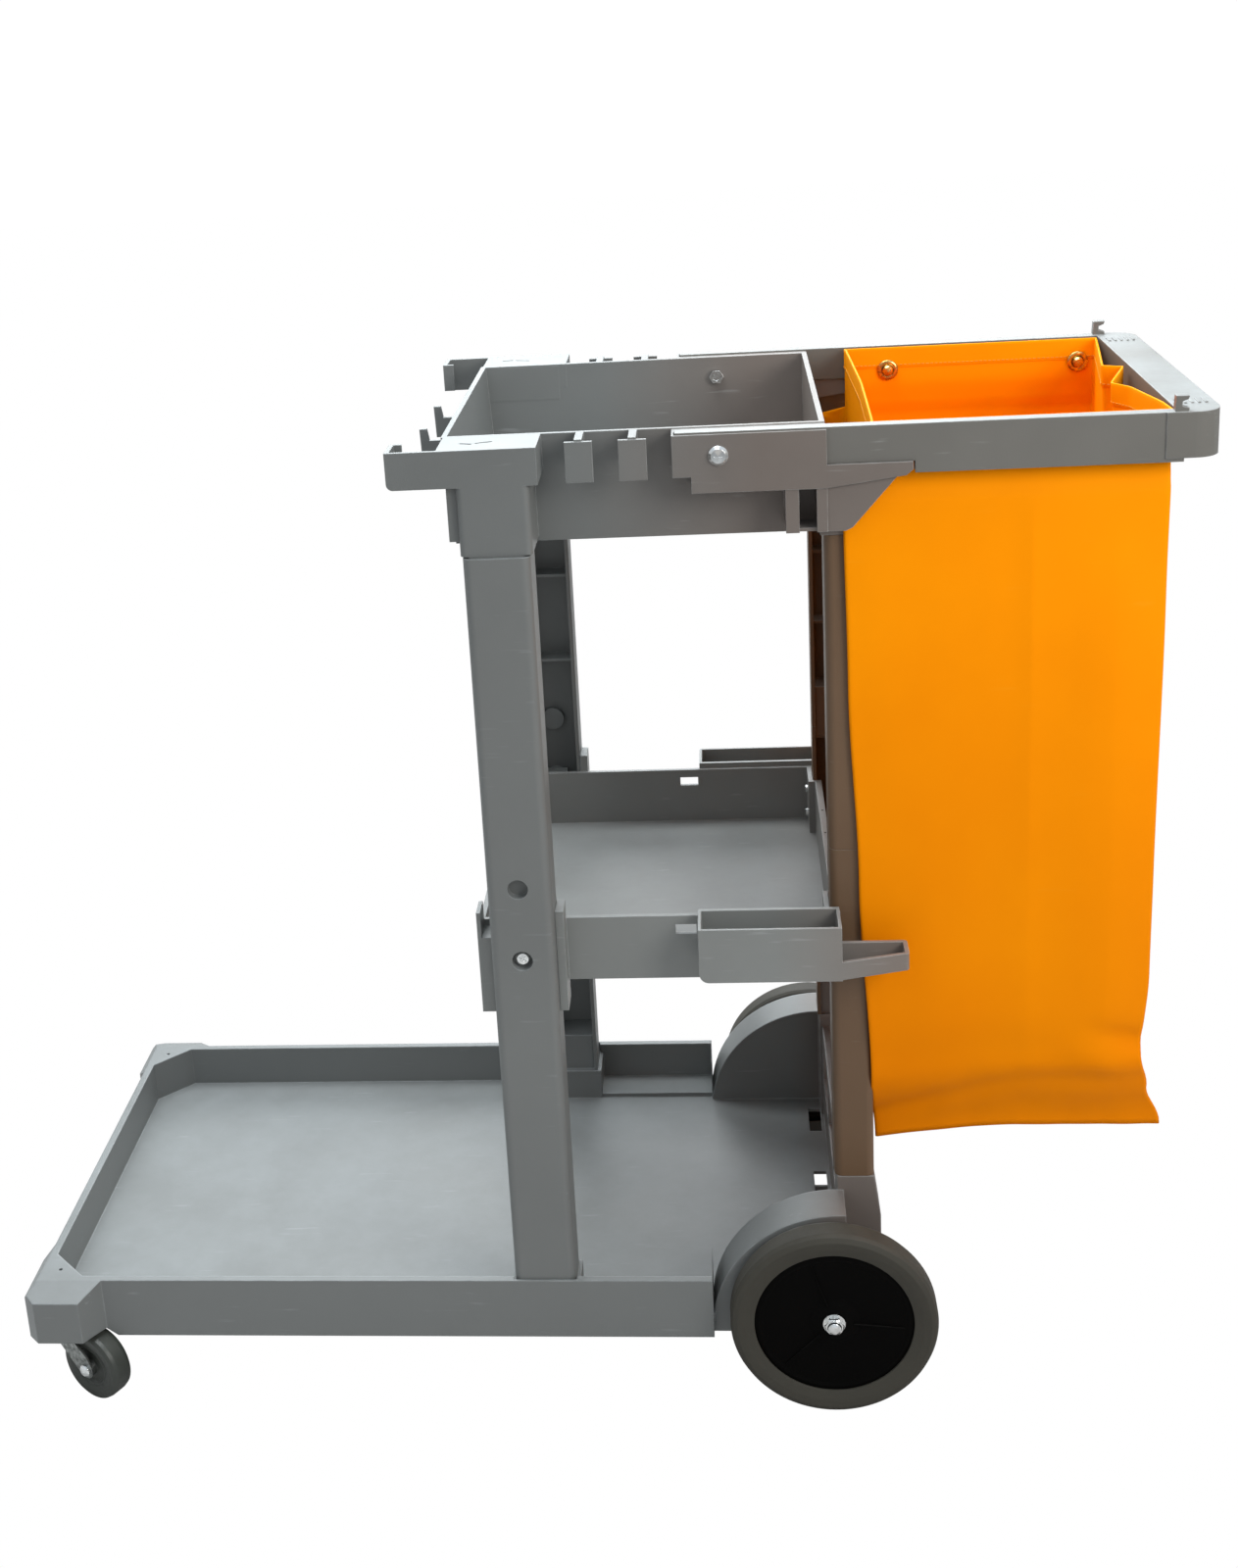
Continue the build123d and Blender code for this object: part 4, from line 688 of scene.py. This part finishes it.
def make_bag_shell():
    """The bag as one skin: rings from the hem down to the seam, then the gathered floor panel."""
    mesh = bmesh.new()
    rings = skin_rings()
    rings += floor_rings(rings[-1])
    girth = running_length(rings[MAP_LEVEL] + rings[MAP_LEVEL][:1])
    depth = running_length([ring[MAP_COLUMN] for ring in rings])
    made = skin_between(mesh, rings, lambda column, row: (girth[column], depth[row]))
    bmesh.ops.remove_doubles(mesh, verts=made[-1], dist=0.0006)
    bmesh.ops.dissolve_degenerate(mesh, dist=0.00001, edges=mesh.edges)
    bmesh.ops.recalc_face_normals(mesh, faces=mesh.faces)
    return mesh


def object_from(mesh, name, material):
    """A new piece made of a mesh."""
    data = bpy.data.meshes.new(name)
    mesh.to_mesh(data)
    mesh.free()
    piece = bpy.data.objects.new(name, data)
    bpy.context.scene.collection.objects.link(piece)
    data.materials.append(material)
    return piece


def select_only(*pieces):
    bpy.ops.object.select_all(action="DESELECT")
    for piece in pieces:
        piece.select_set(True)
    bpy.context.view_layer.objects.active = pieces[0]


def apply_modifier(piece, kind, **settings):
    select_only(piece)
    modifier = piece.modifiers.new(kind.lower(), kind)
    for key, value in settings.items():
        setattr(modifier, key, value)
    bpy.ops.object.modifier_apply(modifier=modifier.name)


def make_bag():
    bag = object_from(make_bag_shell(), "bag_cloth", bag_vinyl)
    apply_modifier(bag, "SOLIDIFY", thickness=0.0009, offset=0.0)
    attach(bag, "cart")
    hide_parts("bag")
    return bag


def make_hem():
    """The hem: the cloth turned over at the top, thicker than the rest."""
    mesh = bmesh.new()
    heights = [HEM_Z + 0.0006 - HEM_DEPTH * (i / HEM_ROWS) for i in range(HEM_ROWS + 1)]
    rings = [[Vector((p.x, p.y, z)) for p in bag_ring(z)] for z in heights]
    skin_between(mesh, rings, lambda column, row: (column * 0.004, row * 0.0036))
    bmesh.ops.recalc_face_normals(mesh, faces=mesh.faces)
    hem = object_from(mesh, "bag_hem", hem_vinyl)
    apply_modifier(hem, "SOLIDIFY", thickness=0.002, offset=0.0)
    apply_modifier(hem, "BEVEL", width=0.0006, segments=2, limit_method="ANGLE")
    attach(hem, "cart")
    return hem


def add_stitch(mesh, spot, forward):
    """A stitch on each face of the cloth, at a place of its plan line."""
    outward = Vector((forward.y, -forward.x))
    turn = Matrix(((forward.x, outward.x, 0), (forward.y, outward.y, 0), (0, 0, 1))).to_4x4()
    size = Matrix.Diagonal((*STITCH_SIZE, 1))
    for face in (-1, 1):
        centre = spot + outward * STITCH_STANDOFF * face
        place = Matrix.Translation((centre.x, centre.y, STITCH_Z))
        bmesh.ops.create_cube(mesh, size=1.0, matrix=place @ turn @ size)


def make_stitches():
    """The row of stitches that holds the hem, on both faces of the cloth."""
    mesh = bmesh.new()
    plan = bag_ring(STITCH_Z)
    run = 0.0
    for start, end in zip(plan, plan[1:] + plan[:1]):
        length = (end - start).length
        while run < length:
            add_stitch(mesh, start.lerp(end, run / length), (end - start).normalized())
            run += STITCH_PITCH
        run -= length
    bmesh.ops.recalc_face_normals(mesh, faces=mesh.faces)
    stitches = object_from(mesh, "bag_hem_stitches", sewing_thread)
    apply_modifier(stitches, "BEVEL", width=0.0002, segments=1)
    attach(stitches, "cart")
    return stitches


def make_eyelet(name, x, y):
    """A rolled brass eyelet: a ring of strip spun about the stud, pressed flat against the cloth."""
    bpy.ops.object.select_all(action="DESELECT")
    bpy.ops.mesh.primitive_circle_add(vertices=12, radius=EYELET_ROLL,
                                      location=(x + EYELET_RADIUS, y, STUD_Z))
    ring = bpy.context.object
    ring.name = name
    bpy.ops.object.transform_apply(location=True, rotation=True, scale=True)
    bpy.ops.object.mode_set(mode="EDIT")
    bpy.ops.mesh.select_all(action="SELECT")
    bpy.ops.mesh.spin(steps=40, angle=2 * math.pi, center=(x, y, STUD_Z), axis=(0, 1, 0))
    bpy.ops.mesh.select_all(action="SELECT")
    bpy.ops.mesh.remove_doubles(threshold=0.00001)
    bpy.ops.transform.resize(value=(1, 0.5, 1), center_override=(x, y, STUD_Z))
    bpy.ops.mesh.normals_make_consistent(inside=False)
    bpy.ops.object.mode_set(mode="OBJECT")
    bpy.ops.object.shade_smooth()
    ring.data.materials.append(brass)
    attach(ring, "cart")
    return ring


def make_disc_ribs(side, sign):
    """The thin moulding ribs on a wheel disc, from its hub outwards."""
    ribs = []
    for angle in DISC_RIB_ANGLES:
        bpy.ops.object.select_all(action="DESELECT")
        turn = math.radians(angle)
        place = (AXLE_X + math.cos(turn) * DISC_RIB_REACH, sign * DISC_FACE_Y,
                 AXLE_Z + math.sin(turn) * DISC_RIB_REACH)
        bpy.ops.mesh.primitive_cube_add(size=1, location=place, rotation=(0, -turn, 0),
                                        scale=DISC_RIB_SIZE)
        rib = bpy.context.object
        bpy.ops.object.transform_apply(location=True, rotation=True, scale=True)
        bpy.ops.object.mode_set(mode="EDIT")
        bpy.ops.mesh.select_all(action="SELECT")
        bpy.ops.mesh.bevel(offset=0.0003, segments=2, affect="EDGES")
        bpy.ops.object.mode_set(mode="OBJECT")
        bpy.ops.object.shade_smooth_by_angle(angle=0.6)
        rib.data.materials.append(disc_black)
        ribs.append(rib)
    select_only(*ribs)
    bpy.ops.object.join()
    joined = bpy.context.object
    joined.name = f"wheel_disc_ribs_{side}"
    bpy.ops.object.transform_apply(location=True, rotation=True, scale=True)
    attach(joined, f"wheel_{side}")


bag = make_bag()
hem = make_hem()
stitches = make_stitches()
for side, sign in SIDES:
    make_disc_ribs(side, sign)
eyelets = [make_eyelet(f"bag_eyelet_{side}_{i + 1}", x, sign * EYELET_Y)
           for side, sign in SIDES for i, x in enumerate(STUD_X)]
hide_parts("bag_grommets")


# ---------------------------------------------------------------- stage

def make_stage():
    """The floor: white to the camera, and a soft grey that throws light back on the cart."""
    bpy.ops.object.select_all(action="DESELECT")
    bpy.ops.mesh.primitive_plane_add(size=24, location=(0, 0, 0))
    floor = bpy.context.object
    floor.name = "studio_floor"
    material, tree, surface = new_material("studio_floor")
    output = [n for n in tree.nodes if n.type == "OUTPUT_MATERIAL"][0]
    seen = add(tree, "LightPath").outputs["Is Camera Ray"]
    glow = add(tree, "Emission", None, Color=(1, 1, 1, 1), Strength=1.0).outputs[0]
    surface.inputs["Base Color"].default_value = (0.46, 0.45, 0.44, 1)
    surface.inputs["Roughness"].default_value = 0.9
    mix = add(tree, "MixShader", None, i0=seen, i1=surface.outputs[0], i2=glow)
    tree.links.new(mix.outputs[0], output.inputs["Surface"])
    floor.data.materials.append(material)


def make_sky():
    """Soft light from all round, a little bluer from above, and white to the camera."""
    world = bpy.data.worlds.new("studio")
    bpy.context.scene.world = world
    world.use_nodes = True
    tree = world.node_tree
    tree.nodes.clear()
    direction = add(tree, "TexCoord").outputs["Generated"]
    height = add(tree, "SeparateXYZ", None, i0=direction).outputs["Z"]
    tone = blend_colour(tree, rescale(tree, height, -0.1, 0.8), (0.62, 0.6, 0.58, 1), (0.8, 0.88, 0.95, 1))
    seen = add(tree, "LightPath").outputs["Is Camera Ray"]
    colour = blend_colour(tree, seen, tone, (1.2, 1.2, 1.2, 1))
    light = add(tree, "Background", None, Color=colour, Strength=0.86)
    output = tree.nodes.new("ShaderNodeOutputWorld")
    tree.links.new(light.outputs[0], output.inputs["Surface"])


place_camera()
make_stage()
make_sky()
softbox("overhead", (-0.2, 0.3, 3.0), (-0.1, 0, 0.3), 2.2, 100, (0.93, 0.98, 1.0))
softbox("back_wall", (-0.2, 3.4, 1.9), (0, 0, 0.4), 3.0, 75, (0.93, 0.98, 1.0))
softbox("front_fill", (1.4, -1.3, 1.6), (0.4, -0.19, 0.85), 1.0, 20, (1.0, 0.98, 0.94))
bpy.context.scene.view_settings.view_transform = "Standard"
